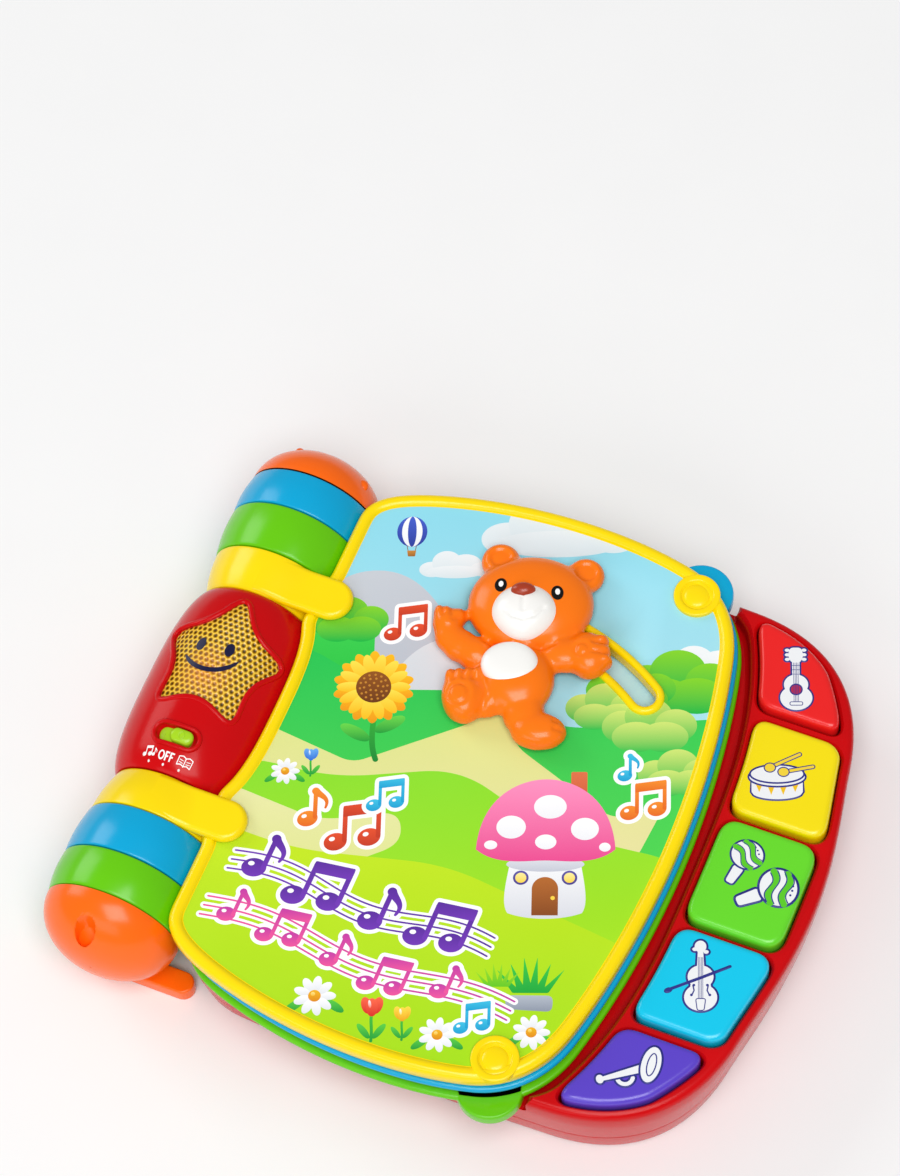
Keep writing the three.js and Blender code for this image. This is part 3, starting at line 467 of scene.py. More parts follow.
class Print:
    """Coloured outlines stacked on one flat panel; later outlines cover earlier ones."""

    def __init__(self, panel, holes=()):
        self.outlines = [panel, *holes]
        self.holes = len(holes)
        self.inks = [(0xFFFFFF, 0xFFFFFF)] * len(self.outlines)

    def add(self, outline, near, far=None):
        """Adds an outline whose ink runs from `near` at its foot to `far` at its head."""
        self.outlines.append(anticlockwise(np.array(outline, float)))
        self.inks.append((near, near if far is None else far))

    def stamp(self, motif, x, y, size=1.0, turn=UPRIGHT, border=0.0, border_ink=0xFFFFFF):
        """Lays a motif's outlines at a place, over a border of their grown outlines."""
        c, s = math.cos(turn) * size, math.sin(turn) * size
        placed = [(o @ np.array([[c, s], [-s, c]]) + (x, y), near, far) for o, near, far in motif]
        if border:
            for outline, _, _ in placed:
                self.add(inset(anticlockwise(outline), -border), border_ink)
        for outline, near, far in placed:
            self.add(outline, near, far)

    def skin(self, bare=False):
        """Triangles of the outlines' common subdivision, each in the ink of the last outline over it.

        An ink is near + (far - near) t, where t is how far up the outline's own height a corner lies.
        """
        starts = np.cumsum([0] + [len(o) for o in self.outlines])
        points = [Vector(p) for p in np.concatenate(self.outlines)]
        faces = [list(range(a, b)) for a, b in zip(starts, starts[1:])]
        flat, _, made, _, _, over = delaunay_2d_cdt(points, [], faces, 0, 1e-5, True)
        flat = np.array([tuple(p) for p in flat])
        hidden = set(range(1, self.holes + 1))
        first = len(hidden) if bare else -1
        kept = [
            (face, max(owners))
            for face, owners in zip(made, over)
            if 0 in owners and not hidden.intersection(owners) and max(owners) > first
        ]
        triangles = np.array([face for face, _ in kept])
        owner = np.array([o for _, o in kept])
        up = np.array([-math.sin(UPRIGHT), math.cos(UPRIGHT)])
        heights = [o @ up for o in self.outlines]
        low = np.array([h.min() for h in heights])[owner][:, None]
        high = np.array([h.max() for h in heights])[owner][:, None]
        t = (((flat @ up)[triangles] - low) / (high - low + 1e-9))[..., None]
        near = np.array([linear(n) for n, _ in self.inks])[owner][:, None]
        far = np.array([linear(f) for _, f in self.inks])[owner][:, None]
        return flat, triangles, near + (far - near) * np.clip(t, 0, 1)


def linear(code):
    """Linear light of an sRGB hex code: c/12.92 where c is small, ((c + 0.055)/1.055)^2.4 above."""
    part = np.array([(code >> shift) & 255 for shift in (16, 8, 0)]) / 255
    return np.where(part <= 0.04045, part / 12.92, ((part + 0.055) / 1.055) ** 2.4)


def put_print(name, sheet, place, material, body, replaces=(), thickness=0.05, bare=False):
    """Lays a print in space by place(x, y), with its inks in the attribute `ink`, and gives it a thickness."""
    flat, triangles, inks = sheet.skin(bare)
    used, triangles = np.unique(triangles, return_inverse=True)
    flat, triangles = flat[used], triangles.reshape(-1, 3)
    mesh = bpy.data.meshes.new(name)
    mesh.from_pydata((place(flat[:, 0], flat[:, 1]) * MM).tolist(), [], triangles.tolist())
    attribute = mesh.attributes.new("ink", "FLOAT_COLOR", "CORNER")
    attribute.data.foreach_set("color", np.append(inks, np.ones_like(inks[..., :1]), axis=-1).ravel())
    piece = tie(name, mesh, material, body, replaces)
    wall = piece.modifiers.new("thickness", "SOLIDIFY")
    wall.thickness = thickness * MM
    wall.offset = -1
    return piece


def level(z):
    """A place function for a print that lies flat at height z."""
    return lambda x, y: np.stack([x, y, np.full_like(x, z)], axis=-1)


# Spine


def barrel_radius(y):
    """waist + (radius - waist)(1 - |y/half|^3)^0.62."""
    t = np.clip(np.abs(y) / BARREL[2], 0, 1)
    return BARREL[1] + (BARREL[0] - BARREL[1]) * (1 - t**3) ** 0.62


def on_barrel(s, y, lift=0.0):
    """The point at arc length s from the top and y along the spine, `lift` above the barrel."""
    angle, radius = s / BARREL[0], barrel_radius(y) + lift
    return np.stack([radius * np.sin(angle), y, AXIS_Z + radius * np.cos(angle)], axis=-1)


def distance_to(outline, s, y):
    """Shortest distance of each point to the closed outline's chords, below zero inside it."""
    a, b = outline, np.roll(outline, -1, 0)
    p = np.stack([s.ravel(), y.ravel()], axis=1)[:, None]
    run = b - a
    t = np.clip(((p - a) * run).sum(-1) / (run**2).sum(-1).clip(1e-12), 0, 1)[..., None]
    away = np.hypot(*np.moveaxis(p - a - t * run, -1, 0)).min(axis=1)
    ray = (a[:, 1] > p[..., 1]) != (b[:, 1] > p[..., 1])
    rise = np.where(run[:, 1] == 0, 1e-12, run[:, 1])
    hit = p[..., 0] < a[:, 0] + (p[..., 1] - a[:, 1]) * run[:, 0] / rise
    inside = (ray & hit).sum(axis=1) % 2 == 1
    return np.where(inside, -away, away).reshape(s.shape)


def eased(value, low, high):
    """3t^2 - 2t^3 of how far the value has gone from low to high."""
    t = np.clip((value - low) / (high - low), 0, 1)
    return t * t * (3 - 2 * t)


# Finishes


def plastic(name, colour, roughness=0.22, mottle=0.04, grain=0.02, fine=1400.0, shine=0.36):
    """Moulded plastic: slightly uneven colour and polish, and a fine grain in its skin."""
    material = bpy.data.materials.new(name)
    material.use_nodes = True
    nodes, links = material.node_tree.nodes, material.node_tree.links
    shader = nodes["Principled BSDF"]
    place = nodes.new("ShaderNodeTexCoord")
    broad = nodes.new("ShaderNodeTexNoise")
    broad.inputs["Scale"].default_value = 22
    broad.inputs["Detail"].default_value = 3
    links.new(place.outputs["Object"], broad.inputs["Vector"])
    tint = nodes.new("ShaderNodeValToRGB")
    tint.color_ramp.elements[0].position = 0.35
    tint.color_ramp.elements[1].position = 0.65
    tint.color_ramp.elements[0].color = (*(np.array(colour) * (1 - mottle)), 1)
    tint.color_ramp.elements[1].color = (*np.array(colour), 1)
    links.new(broad.outputs["Fac"], tint.inputs["Fac"])
    links.new(tint.outputs["Color"], shader.inputs["Base Color"])
    polish = nodes.new("ShaderNodeMapRange")
    polish.inputs["From Min"].default_value = 0.3
    polish.inputs["From Max"].default_value = 0.7
    polish.inputs["To Min"].default_value = roughness * 0.85
    polish.inputs["To Max"].default_value = roughness * 1.15
    links.new(broad.outputs["Fac"], polish.inputs["Value"])
    links.new(polish.outputs["Result"], shader.inputs["Roughness"])
    small = nodes.new("ShaderNodeTexNoise")
    small.inputs["Scale"].default_value = fine
    links.new(place.outputs["Object"], small.inputs["Vector"])
    bump = nodes.new("ShaderNodeBump")
    bump.inputs["Strength"].default_value = grain
    bump.inputs["Distance"].default_value = 0.0002
    shader.inputs["Specular IOR Level"].default_value = shine
    links.new(small.outputs["Fac"], bump.inputs["Height"])
    links.new(bump.outputs["Normal"], shader.inputs["Normal"])
    return material


def printed(name, roughness=0.38):
    """Printed card: the inks of the attribute `ink`, with a faint tooth in the lacquer."""
    material = plastic(name, (1, 1, 1), roughness, 0, 0.03, 900)
    nodes, links = material.node_tree.nodes, material.node_tree.links
    inks = nodes.new("ShaderNodeAttribute")
    inks.attribute_name = "ink"
    mottled = nodes.new("ShaderNodeMixRGB")
    mottled.blend_type = "MULTIPLY"
    mottled.inputs["Fac"].default_value = 0.04
    tooth = next(n for n in nodes if n.type == "TEX_NOISE")
    links.new(inks.outputs["Color"], mottled.inputs["Color1"])
    links.new(tooth.outputs["Fac"], mottled.inputs["Color2"])
    links.new(mottled.outputs["Color"], nodes["Principled BSDF"].inputs["Base Color"])
    return material


def lens_glass(name, pitch):
    """Amber lens over a honeycomb: each cell's distance from the nearest centre of two offset lattices, with painted
    shade in the cell hollows, painted light on the cell walls and a painted orange glow round the middle.
    """
    material = bpy.data.materials.new(name)
    material.use_nodes = True
    nodes, links = material.node_tree.nodes, material.node_tree.links
    shader = nodes["Principled BSDF"]
    place = nodes.new("ShaderNodeUVMap")
    place.uv_map = "unrolled"
    distances = []
    for shift in (0.0, 0.5):
        moved = nodes.new("ShaderNodeVectorMath")
        moved.operation = "ADD"
        moved.inputs[1].default_value = (shift * pitch, shift * pitch * math.sqrt(3), 0)
        links.new(place.outputs["UV"], moved.inputs[0])
        wrapped = nodes.new("ShaderNodeVectorMath")
        wrapped.operation = "WRAP"
        wrapped.inputs[1].default_value = (pitch / 2, pitch * math.sqrt(3) / 2, 1)
        wrapped.inputs[2].default_value = (-pitch / 2, -pitch * math.sqrt(3) / 2, -1)
        links.new(moved.outputs[0], wrapped.inputs[0])
        length = nodes.new("ShaderNodeVectorMath")
        length.operation = "LENGTH"
        links.new(wrapped.outputs[0], length.inputs[0])
        distances.append(length.outputs["Value"])
    nearest = nodes.new("ShaderNodeMath")
    nearest.operation = "MINIMUM"
    links.new(distances[0], nearest.inputs[0])
    links.new(distances[1], nearest.inputs[1])
    share = nodes.new("ShaderNodeMath")
    share.operation = "DIVIDE"
    share.inputs[1].default_value = pitch / 2
    links.new(nearest.outputs[0], share.inputs[0])
    # Painted shade and light: the cell hollows, low in the bump below, are painted dark amber and the raised walls
    # bright amber
    cells = nodes.new("ShaderNodeValToRGB")
    ramp = cells.color_ramp
    ramp.elements[0].position, ramp.elements[1].position = 0.28, 1.0
    ramp.elements[0].color = (*linear(0x4E4208), 1)
    ramp.elements[1].color = (*linear(0xFFDC50), 1)
    ramp.elements.new(0.58).color = (*linear(0x9A6A0A), 1)
    ramp.elements.new(0.78).color = (*linear(0xF0B41C), 1)
    links.new(share.outputs[0], cells.inputs["Fac"])
    # Painted glow: an orange tint mixed into the cells round the lens's middle, strongest there and gone 14 mm out
    centre = nodes.new("ShaderNodeVectorMath")
    centre.operation = "DISTANCE"
    centre.inputs[1].default_value = (-0.002, 0.001, 0)
    links.new(place.outputs["UV"], centre.inputs[0])
    painted_glow = nodes.new("ShaderNodeMapRange")
    painted_glow.inputs["From Min"].default_value = 0.0
    painted_glow.inputs["From Max"].default_value = 0.014
    painted_glow.inputs["To Min"].default_value = 0.55
    painted_glow.inputs["To Max"].default_value = 0.0
    links.new(centre.outputs["Value"], painted_glow.inputs["Value"])
    lit = nodes.new("ShaderNodeMixRGB")
    lit.inputs["Color2"].default_value = (*linear(0xFF9A3C), 1)
    links.new(painted_glow.outputs["Result"], lit.inputs["Fac"])
    links.new(cells.outputs["Color"], lit.inputs["Color1"])
    links.new(lit.outputs["Color"], shader.inputs["Base Color"])
    bump = nodes.new("ShaderNodeBump")
    bump.inputs["Strength"].default_value = 0.9
    bump.inputs["Distance"].default_value = 0.0007
    links.new(share.outputs[0], bump.inputs["Height"])
    links.new(bump.outputs["Normal"], shader.inputs["Normal"])
    shader.inputs["Roughness"].default_value = 0.22
    return material


# Motifs of the prints: outlines about their own middle, each with the ink at its foot and at its head


def note(ink=0xF2661E, shade=0xD93A16):
    """A single quaver with a highlight on its head."""
    flag = bezier_chain((2.2, 9.0), [((3.4, 7.4), (6.6, 7.0), (5.2, 3.6))], 14)
    return [
        (ellipse(0, 0, 3.1, 2.5, 20), shade, ink),
        (stroke([(2.2, 0.6), (2.2, 4.8), (2.2, 9.2)], 1.3), shade, ink),
        (stroke(flag, np.linspace(2.4, 0.7, len(flag))), shade, ink),
        (ellipse(-1.0, 0.8, 0.8, 0.6, 20, 16), 0xFFFFFF, 0xFFFFFF),
    ]


def two_notes(ink=0xF2661E, shade=0xD93A16):
    """Two quavers under one beam."""
    return [
        (ellipse(-4.2, -2.6, 3.1, 2.5, 20), shade, ink),
        (ellipse(4.6, -1.2, 3.1, 2.5, 20), shade, ink),
        (stroke([(-1.8, -2.2), (-1.8, 2), (-1.8, 7.0)], 1.3), shade, ink),
        (stroke([(7.0, -0.8), (7.0, 4), (7.0, 8.4)], 1.3), shade, ink),
        (polygon([(-2.4, 4.6), (7.6, 6.0), (7.6, 9.2), (-2.4, 7.8)], 0.4), shade, ink),
        (ellipse(-5.1, -1.8, 0.8, 0.6, 20, 16), 0xFFFFFF, 0xFFFFFF),
        (ellipse(3.7, -0.4, 0.8, 0.6, 20, 16), 0xFFFFFF, 0xFFFFFF),
    ]


def cloud(low=0xDDE4EA, high=0xF1F5F8):
    """Puffs in a row on a flat foot."""
    puffs = [(-11, -1, 6, 4.2), (-4, 2.6, 7, 6.4), (5, 1.6, 7.6, 5.6), (12.5, -1, 5.5, 3.8), (0, -2.4, 14, 3.4)]
    return [(ellipse(*puff), low, high) for puff in puffs]


def bush(low=0x16B53A, high=0x8FDD2E):
    """Rounded crowns, the front ones lighter."""
    crowns = [(-9, 3, 7.5, 6.5), (0, 7, 8.5, 7.5), (9.5, 3.5, 7.5, 6.5), (-4.5, -1, 8.5, 6), (5.5, -1, 8.5, 6)]
    return [(ellipse(*crown), low, high) for crown in crowns]


def tulip(low, high):
    """A stem, two leaves and a cup of three petals."""
    return [
        (stroke(bezier_chain((0, -10), [((0.5, -6), (-0.5, -3), (0, 0))], 10), 1.1), 0x1E9E3A, 0x46C23A),
        (ellipse(-2.7, -6.4, 3.4, 1.2, 128), 0x1E9E3A, 0x5CD044),
        (ellipse(2.7, -6.4, 3.4, 1.2, 52), 0x1E9E3A, 0x5CD044),
        (ellipse(-1.9, 3.1, 3.2, 1.8, 106), low, high),
        (ellipse(1.9, 3.1, 3.2, 1.8, 74), low, high),
        (ellipse(0, 2.4, 2.0, 3.4), low, high),
        (ellipse(-0.8, 3.6, 0.5, 1.5, 8, 16), high, 0xFFFFFF),
    ]


def daisy(petal_low=0xE4E8EE, petal_high=0xFFFFFF, heart=0xF5B81C, petals=9):
    """Petals at equal angles round a heart, over two leaves."""
    turns = np.arange(petals) * 360 / petals
    around = [
        (
            ellipse(4.1 * math.cos(math.radians(a)), 4.1 * math.sin(math.radians(a)), 2.7, 1.45, a, 24),
            petal_low,
            petal_high,
        )
        for a in turns
    ]
    leaves = [
        (ellipse(-6.3, -3.4, 3.6, 1.4, 214), 0x1E9E3A, 0x5CD044),
        (ellipse(6.3, -3.4, 3.6, 1.4, -34), 0x1E9E3A, 0x5CD044),
    ]
    return [*leaves, *around, (ellipse(0, 0, 2.0), 0xE08A10, heart), (ellipse(-0.5, 0.6, 0.7), heart, 0xFFE58A)]


def sunflower():
    """A big yellow flower on a bowed stem, its heart dotted with seeds."""
    back = [
        (ellipse(8.6 * math.cos(a), 8.6 * math.sin(a), 5.0, 2.2, math.degrees(a), 26), 0xF29A0E, 0xFFC21A)
        for a in np.arange(14) * 2 * np.pi / 14 + 0.22
    ]
    front = [
        (ellipse(7.8 * math.cos(a), 7.8 * math.sin(a), 4.6, 1.9, math.degrees(a), 26), 0xFBC016, 0xFFE650)
        for a in np.arange(14) * 2 * np.pi / 14
    ]
    seeds = [
        (ellipse(r * math.cos(a), r * math.sin(a), 0.42, steps=10), 0xC98830, 0xC98830)
        for r, n in ((1.5, 5), (3.2, 10), (4.6, 14))
        for a in np.arange(n) * 2 * np.pi / n + r
    ]
    stem = bezier_chain((1.5, -27), [((-1.5, -19), (1.5, -12), (0, -4))], 16)
    return [
        (stroke(stem, 1.9), 0x178A34, 0x3FBE3C),
        (ellipse(-5.6, -17, 5.6, 2.2, 150), 0x1E9E3A, 0x6AD84A),
        (ellipse(5.9, -14, 5.6, 2.2, 28), 0x1E9E3A, 0x6AD84A),
        *back,
        *front,
        (ellipse(0, 0, 5.9), 0x6E3A10, 0x96561C),
        *seeds,
    ]


def toadstool():
    """A round house under a spotted pink cap: door, two windows and a chimney."""
    cap = bezier_chain((17, 2), [((16, 17), (6, 21), (0, 21)), ((-6, 21), (-16, 17), (-17, 2))], 22)
    foot = bezier_chain((-17, 2), [((-12, -2.5), (-5, -1), (0, -1)), ((5, -1), (12, -2.5), (17, 2))], 16)
    curves = [((9, -5), (11, -12), (9, -15)), ((4, -17), (-4, -17), (-9, -15)), ((-11, -12), (-9, -5), (-8, 2))]
    stem = bezier_chain((8, 2), curves, 14)
    spots = [
        (-8.5, 8, 3.6, 3.1),
        (1, 13.5, 4.0, 3.2),
        (9.5, 7.5, 3.4, 3.0),
        (0, 4, 2.6, 2.0),
        (-13.4, 3.2, 1.6, 1.2),
        (14.4, 2.6, 1.4, 1.2),
    ]
    return [
        (polygon([(6, 13), (10, 13), (10, 23), (6, 23)], 0.5), 0xC9502E, 0xE5764A),
        (stem, 0xDADCE4, 0xFFFFFF),
        (ellipse(0, -2, 9.5, 2.0), 0xC6C9D6, 0xE3E5EC),
        (np.concatenate([cap[:-1], foot[:-1]]), 0xEC4C92, 0xFF93C2),
        *[(ellipse(*spot), 0xF3F3F7, 0xFFFFFF) for spot in spots],
        (np.concatenate([arc(0, -8.6, 3.2, 0, 180), [(-3.2, -15.6), (3.2, -15.6)]]), 0x8A4A1E, 0xB86A2C),
        (ellipse(1.9, -11, 0.55, steps=12), 0xFFD84A, 0xFFD84A),
        *[(ellipse(x, -5.6, 1.9), 0x4A3F8C, 0x5E54A8) for x in (-5.9, 5.9)],
        *[(ellipse(x, -5.6, 1.35), 0xFFD84A, 0xFFF0A0) for x in (-5.9, 5.9)],
    ]


def balloon():
    """A striped hot-air balloon and its basket."""
    return [
        (stroke([(-2.6, -7), (-1.8, -11)], 0.4), 0x8A5A26, 0x8A5A26),
        (stroke([(2.6, -7), (1.8, -11)], 0.4), 0x8A5A26, 0x8A5A26),
        (ellipse(0, 1, 8.0, 9.2), 0x2C3C9C, 0x4560D0),
        (ellipse(0, 1, 5.4, 9.2), 0xF2F4F8, 0xFFFFFF),
        (ellipse(0, 1, 2.3, 9.2), 0x2C3C9C, 0x4560D0),
        (polygon([(-2.4, -10.4), (2.4, -10.4), (1.9, -14), (-1.9, -14)], 0.5), 0xA06424, 0xD08C3C),
    ]


def grass(low=0x1FA83A, high=0x49CC3E, blades=6):
    """Pointed blades that fan out from one root."""
    leans = np.linspace(-0.9, 0.9, blades)
    return [
        (polygon([(x * 3 - 1.1, 0), (x * 3 + 1.1, 0), (x * 8, 9 - 4 * abs(x))], 0.35), low, high)
        for x in leans
    ]


NAVY, CHALK = 0x2B2F86, 0xEDEFF2


def outlined(shapes, line=0.72):
    """Shapes in white over the same shapes grown by the width of their navy line."""
    grown = [(inset(anticlockwise(np.array(shape, float)), -line), NAVY, NAVY) for shape in shapes]
    return [*grown, *[(shape, CHALK, CHALK) for shape in shapes]]


def lines(*paths, width=0.5):
    """Navy strokes."""
    return [(stroke(path, width), NAVY, NAVY) for path in paths]


def guitar():
    """Head with six pegs, fretted neck, waisted body, rose and bridge."""
    pegs = [ellipse(side * 3.4, 11.2 + 2.1 * i, 1.0, 0.75, steps=16) for side in (-1, 1) for i in range(3)]
    body = [ellipse(0, -6.4, 6.5, 5.6), ellipse(0, -0.4, 4.9, 4.6)]
    neck = polygon([(-1.5, 1), (1.5, 1), (1.5, 10), (-1.5, 10)], 0.2)
    head = polygon([(-1.8, 9.6), (1.8, 9.6), (3.2, 13), (2.2, 16.6), (-2.2, 16.6), (-3.2, 13)], 1.4)
    strings = lines(*[[(x, -8.6), (x, 0), (x, 9.6)] for x in (-0.9, -0.3, 0.3, 0.9)], width=0.22)
    frets = lines(*[[(-1.5, y), (0, y), (1.5, y)] for y in (4.4, 6.4, 8.4)], width=0.26)
    rose = [(ellipse(0, -2.6, 2.7), NAVY, NAVY), (ellipse(0, -2.6, 2.1), 0xB3264A, 0xB3264A)]
    bridge = outlined([polygon([(-2.4, -9.6), (2.4, -9.6), (2.4, -8.4), (-2.4, -8.4)], 0.5)], 0.35)
    return [*outlined([*pegs, *body, neck, head]), *rose, *strings, *frets, *bridge]


def drum():
    """A shallow drum with zigzag cords and two sticks on it."""
    x = np.linspace(-9.4, 9.4, 24)
    foot = np.stack([x, -6.4 - 3.0 * np.sqrt(1 - (x / 9.4) ** 2)], axis=1)
    wall_shape = np.concatenate([foot, [(9.4, 0.6), (-9.4, 0.6)]])
    teeth = [
        (
            polygon([(x - 1.9, -1.6 - 0.25 * k), (x + 1.9, -1.6 - 0.25 * k), (x, -7.8 + 0.03 * x * x)], 0.1),
            0xF1C21B,
            0xF1C21B,
        )
        for x, k in ((-6.6, 0), (-2.2, 3), (2.2, 3), (6.6, 0))
    ]
    rim = ellipse(0, -0.2, 10.2, 3.7)
    head = ellipse(0, 1.0, 9.6, 3.4)
    first, second = [(-2.6, 3.6), (3, 6.4), (8.4, 9.0)], [(2.4, 1.8), (8, 2.9), (13.2, 3.9)]
    sticks = []
    for path in (first, second):
        sticks += [(stroke(path, 1.9), NAVY, NAVY), (stroke(path, 1.1), 0xF1D23A, 0xF1D23A)]
        sticks += [(ellipse(*path[0], 2.3, 2.1), NAVY, NAVY), (ellipse(*path[0], 1.85, 1.65), 0xF1D23A, 0xF1D23A)]
    return [*outlined([wall_shape]), *teeth, *outlined([rim]), *outlined([head]), *sticks]


def maraca(turn):
    """A ball with two wavy bands and dots on a short grip."""
    ball_shape = ellipse(0, 5.0, 5.6, 5.2)
    grip = polygon([(-1.4, -7.4), (1.4, -7.4), (1.9, -0.6), (-1.9, -0.6)], 0.9)
    green = 0x58C822
    bands = [
        (stroke(wave(-5.2, 5.6, 3.6, 1.2, 0.9), 1.9), green, green),
        (stroke(wave(-3.0, 9.0, 5.3, 4.6, 0.9), 1.9), green, green),
    ]
    edges = lines(
        wave(-5.0, 6.7, 4.2, 2.1, 0.9),
        wave(-5.0, 4.6, 2.8, 0.4, 0.9),
        wave(-2.2, 9.9, 5.4, 5.8, 0.9),
        wave(-4.0, 8.4, 5.2, 3.6, 0.9),
        width=0.35,
    )
    dots = [(ellipse(x, y, 0.35, steps=10), NAVY, NAVY) for x, y in ((2.2, 8.3), (3.3, 7.3), (1.0, 9.0))]
    made = [*outlined([grip]), *outlined([ball_shape]), *bands, *edges, *dots]
    c, s = math.cos(math.radians(turn)), math.sin(math.radians(turn))
    return [(shape @ np.array([[c, s], [-s, c]]), near, far) for shape, near, far in made]


def violin():
    """Scroll, pegs, waisted body, two f-holes, tailpiece and a bow across the strings."""
    body = [ellipse(0, -6.8, 5.6, 5.0), ellipse(0, 0.8, 4.4, 4.2), ellipse(0, -3.0, 3.5, 3.6)]
    neck = polygon([(-1.3, 3), (1.3, 3), (0.9, 10.6), (-0.9, 10.6)], 0.2)
    pegs = [ellipse(-1.9, 11.0, 0.9, 0.7, steps=16), ellipse(1.9, 10.0, 0.9, 0.7, steps=16)]
    scroll = [ellipse(0, 12.0, 2.0, 2.2), *pegs]
    strings = lines(*[[(x, -8), (x, 0), (x, 8)] for x in (-0.75, -0.25, 0.25, 0.75)], width=0.2)
    holes = lines(
        *[[(side * 2.6, -2.4), (side * 2.2, -4.2), (side * 2.9, -5.8)] for side in (-1, 1)], width=0.5
    )
    places = [(side * x, y) for side in (-1, 1) for x, y in ((2.3, -2.3), (3.1, -5.9))]
    dots = [(ellipse(x, y, 0.5, steps=12), NAVY, NAVY) for x, y in places]
    tail = outlined([polygon([(-1.5, -7.4), (1.5, -7.4), (1.0, -11.4), (-1.0, -11.4)], 0.6)], 0.35)
    bow = lines([(-11, -4.0), (0, 0.4), (10, 4.6)], width=1.1) + [(ellipse(-11, -4.2, 1.5, 1.0, 22), NAVY, NAVY)]
    return [*outlined([*body, neck, *scroll]), *strings, *holes, *dots, *tail, *bow]


def trumpet():
    """A flared bell seen half from the front, a slim pipe, a mouthpiece and one loop."""
    pipe = polygon([(-10.6, -3.6), (-10.2, -5.0), (3.4, -1.8), (5.6, -4.6), (5.6, 6.6), (3.4, 1.2)], 1.2)
    loop = stroke(arc(-2.4, -3.4, 2.7, 190, 350, 20), 1.4)
    mouth = ellipse(-10.9, -4.3, 1.3, 1.6, 18, 24)
    bell, inner = ellipse(6.4, 1.0, 3.3, 6.6, -14), ellipse(6.6, 1.0, 1.7, 4.4, -14)
    rings = lines(inset(inner, -0.25)[:19], width=0.5) + lines(inset(inner, -0.25)[18:], width=0.5)
    throat = [(inner, NAVY, NAVY), (inset(inner, 0.45), CHALK, CHALK)]
    return [*outlined([loop]), *outlined([pipe, mouth]), *outlined([bell]), *throat]


# Panel settings


def length(title, description, value, low=0.0):
    """A length property in metres, given in millimetres."""
    return bpy.props.FloatProperty(
        name=title, description=description, default=value * MM, min=low * MM, precision=5, unit="LENGTH"
    )


def tint(title, description, code):
    """A colour property, given as an sRGB hex code."""
    return bpy.props.FloatVectorProperty(
        name=title, description=description, default=tuple(linear(code)), size=3, min=0, max=1, subtype="COLOR"
    )


class SoundBookSizes(bpy.types.PropertyGroup):
    """Sizes of the visible shapes that the frame leaves open."""

    star_tip: length("Star tip", "Radius of the star's tips on the unrolled barrel", 29.8, 20)
    star_valley: length("Star valley", "Radius of the star's valleys", 17.2, 10)
    star_depth: length("Star depth", "How far the lens lies below the barrel", 1.6)
    star_lip: length("Star lip", "Half width of the rounded lip round the star", 1.1)
    cell_pitch: length("Cell pitch", "Distance between the cells of the honeycomb", 2.45, 0.5)
    ring_bulge: length("Ring bulge", "How far a spine ring swells between its ends", 0.8)
    ring_edge: length("Ring edge", "Rounding of a spine ring's edges", 0.8)
    strap_edge: length("Strap edge", "Rounding of the straps' edges", 2.2)
    bead: length("Cover bead", "Half width of the rounded bead round the cover", 2.7)
    slot_bead: length("Slot bead", "Width of the bead round the bear's slot", 3.2)
    plate_edge: length("Page edge", "Rounding of the pages' edges", 1.6)
    base_edge: length("Base edge", "Rounding of the key housing's edge", 3.4)
    well_lip: length("Well lip", "Rounding of the housing round the keys", 1.2)
    key_edge: length("Key edge", "Rounding of the keys' upper edges", 2.8)
    bear_voxel: length("Bear voxel", "Grid of the bear's melted shapes", 0.85, 0.3)
    parting: length("Parting line", "Gap between the two shells of the base", 0.35)


class SoundBookColours(bpy.types.PropertyGroup):
    """Colours of the mouldings."""

    shell: tint("Shell", "Base and barrel", 0xCC080E)
    cover: tint("Cover", "Cover frame, its rings and straps", 0xFFDE00)
    blue_page: tint("Blue page", "Page with the upper tab and its rings", 0x00A6D8)
    green_page: tint("Green page", "Page with the lower tab and its rings", 0x66C806)
    cap: tint("End cap", "Caps at the ends of the spine", 0xFF6A0A)
    key_red: tint("Red key", "Key at the top of the row", 0xDC0610)
    key_yellow: tint("Yellow key", "Second key", 0xF4DA00)
    key_green: tint("Green key", "Middle key", 0x46C014)
    key_blue: tint("Blue key", "Fourth key", 0x00AEDE)
    key_purple: tint("Purple key", "Key at the bottom of the row", 0x4A30A6)
    knob: tint("Switch knob", "Knob of the mode switch", 0xA8D820)
    bear: tint("Bear", "Body of the bear", 0xFF7A0C)
    bear_white: tint("Bear white", "Muzzle and belly", 0xF4F4F2)
    bear_nose: tint("Bear nose", "Nose of the bear", 0xB8401A)
    carriage: tint("Carriage", "Slide below the bear", 0xE8B400)


def mm(name):
    """A size of the panel in millimetres."""
    return getattr(bpy.context.scene.sound_book_sizes, name) / MM


def finish(name, **look):
    """The moulded plastic in a colour of the panel, made once."""
    known = bpy.data.materials.get(name)
    return known or plastic(name, tuple(getattr(bpy.context.scene.sound_book_colours, name)), **look)


def plain(name, code, **look):
    """A moulded plastic or metal part in a fixed colour, made once."""
    metal = look.pop("metallic", 0.0)
    known = bpy.data.materials.get(name)
    if known:
        return known
    material = plastic(name, tuple(linear(code)), **look)
    material.node_tree.nodes["Principled BSDF"].inputs["Metallic"].default_value = metal
    return material


def ribbon(path, width, columns=7):
    """A grid over a path: each point moved sideways by up to half the width there."""
    path = np.array(path, float)
    run = np.gradient(path, axis=0)
    run /= np.hypot(*run.T)[:, None] + 1e-12
    side = np.stack([-run[:, 1], run[:, 0]], axis=1)
    share = np.linspace(-0.5, 0.5, columns)[None, :, None]
    return path[:, None] + share * np.asarray(width, float)[:, None, None] * side[:, None]


def oval(s, y, rs, ry, rows=26):
    """A ribbon along Y whose width follows an ellipse."""
    t = np.cos(np.linspace(np.pi, 0.0, rows)) * 0.998
    return ribbon(np.stack([np.full(rows, s), y + ry * t], axis=1), 2 * rs * np.sqrt(1 - t**2))


def on_lens(grid, low, high):
    """A closed skin between two heights over the barrel."""
    s, y = np.moveaxis(grid, -1, 0)
    return wall_between(on_barrel(s, y, high), on_barrel(s, y, low))


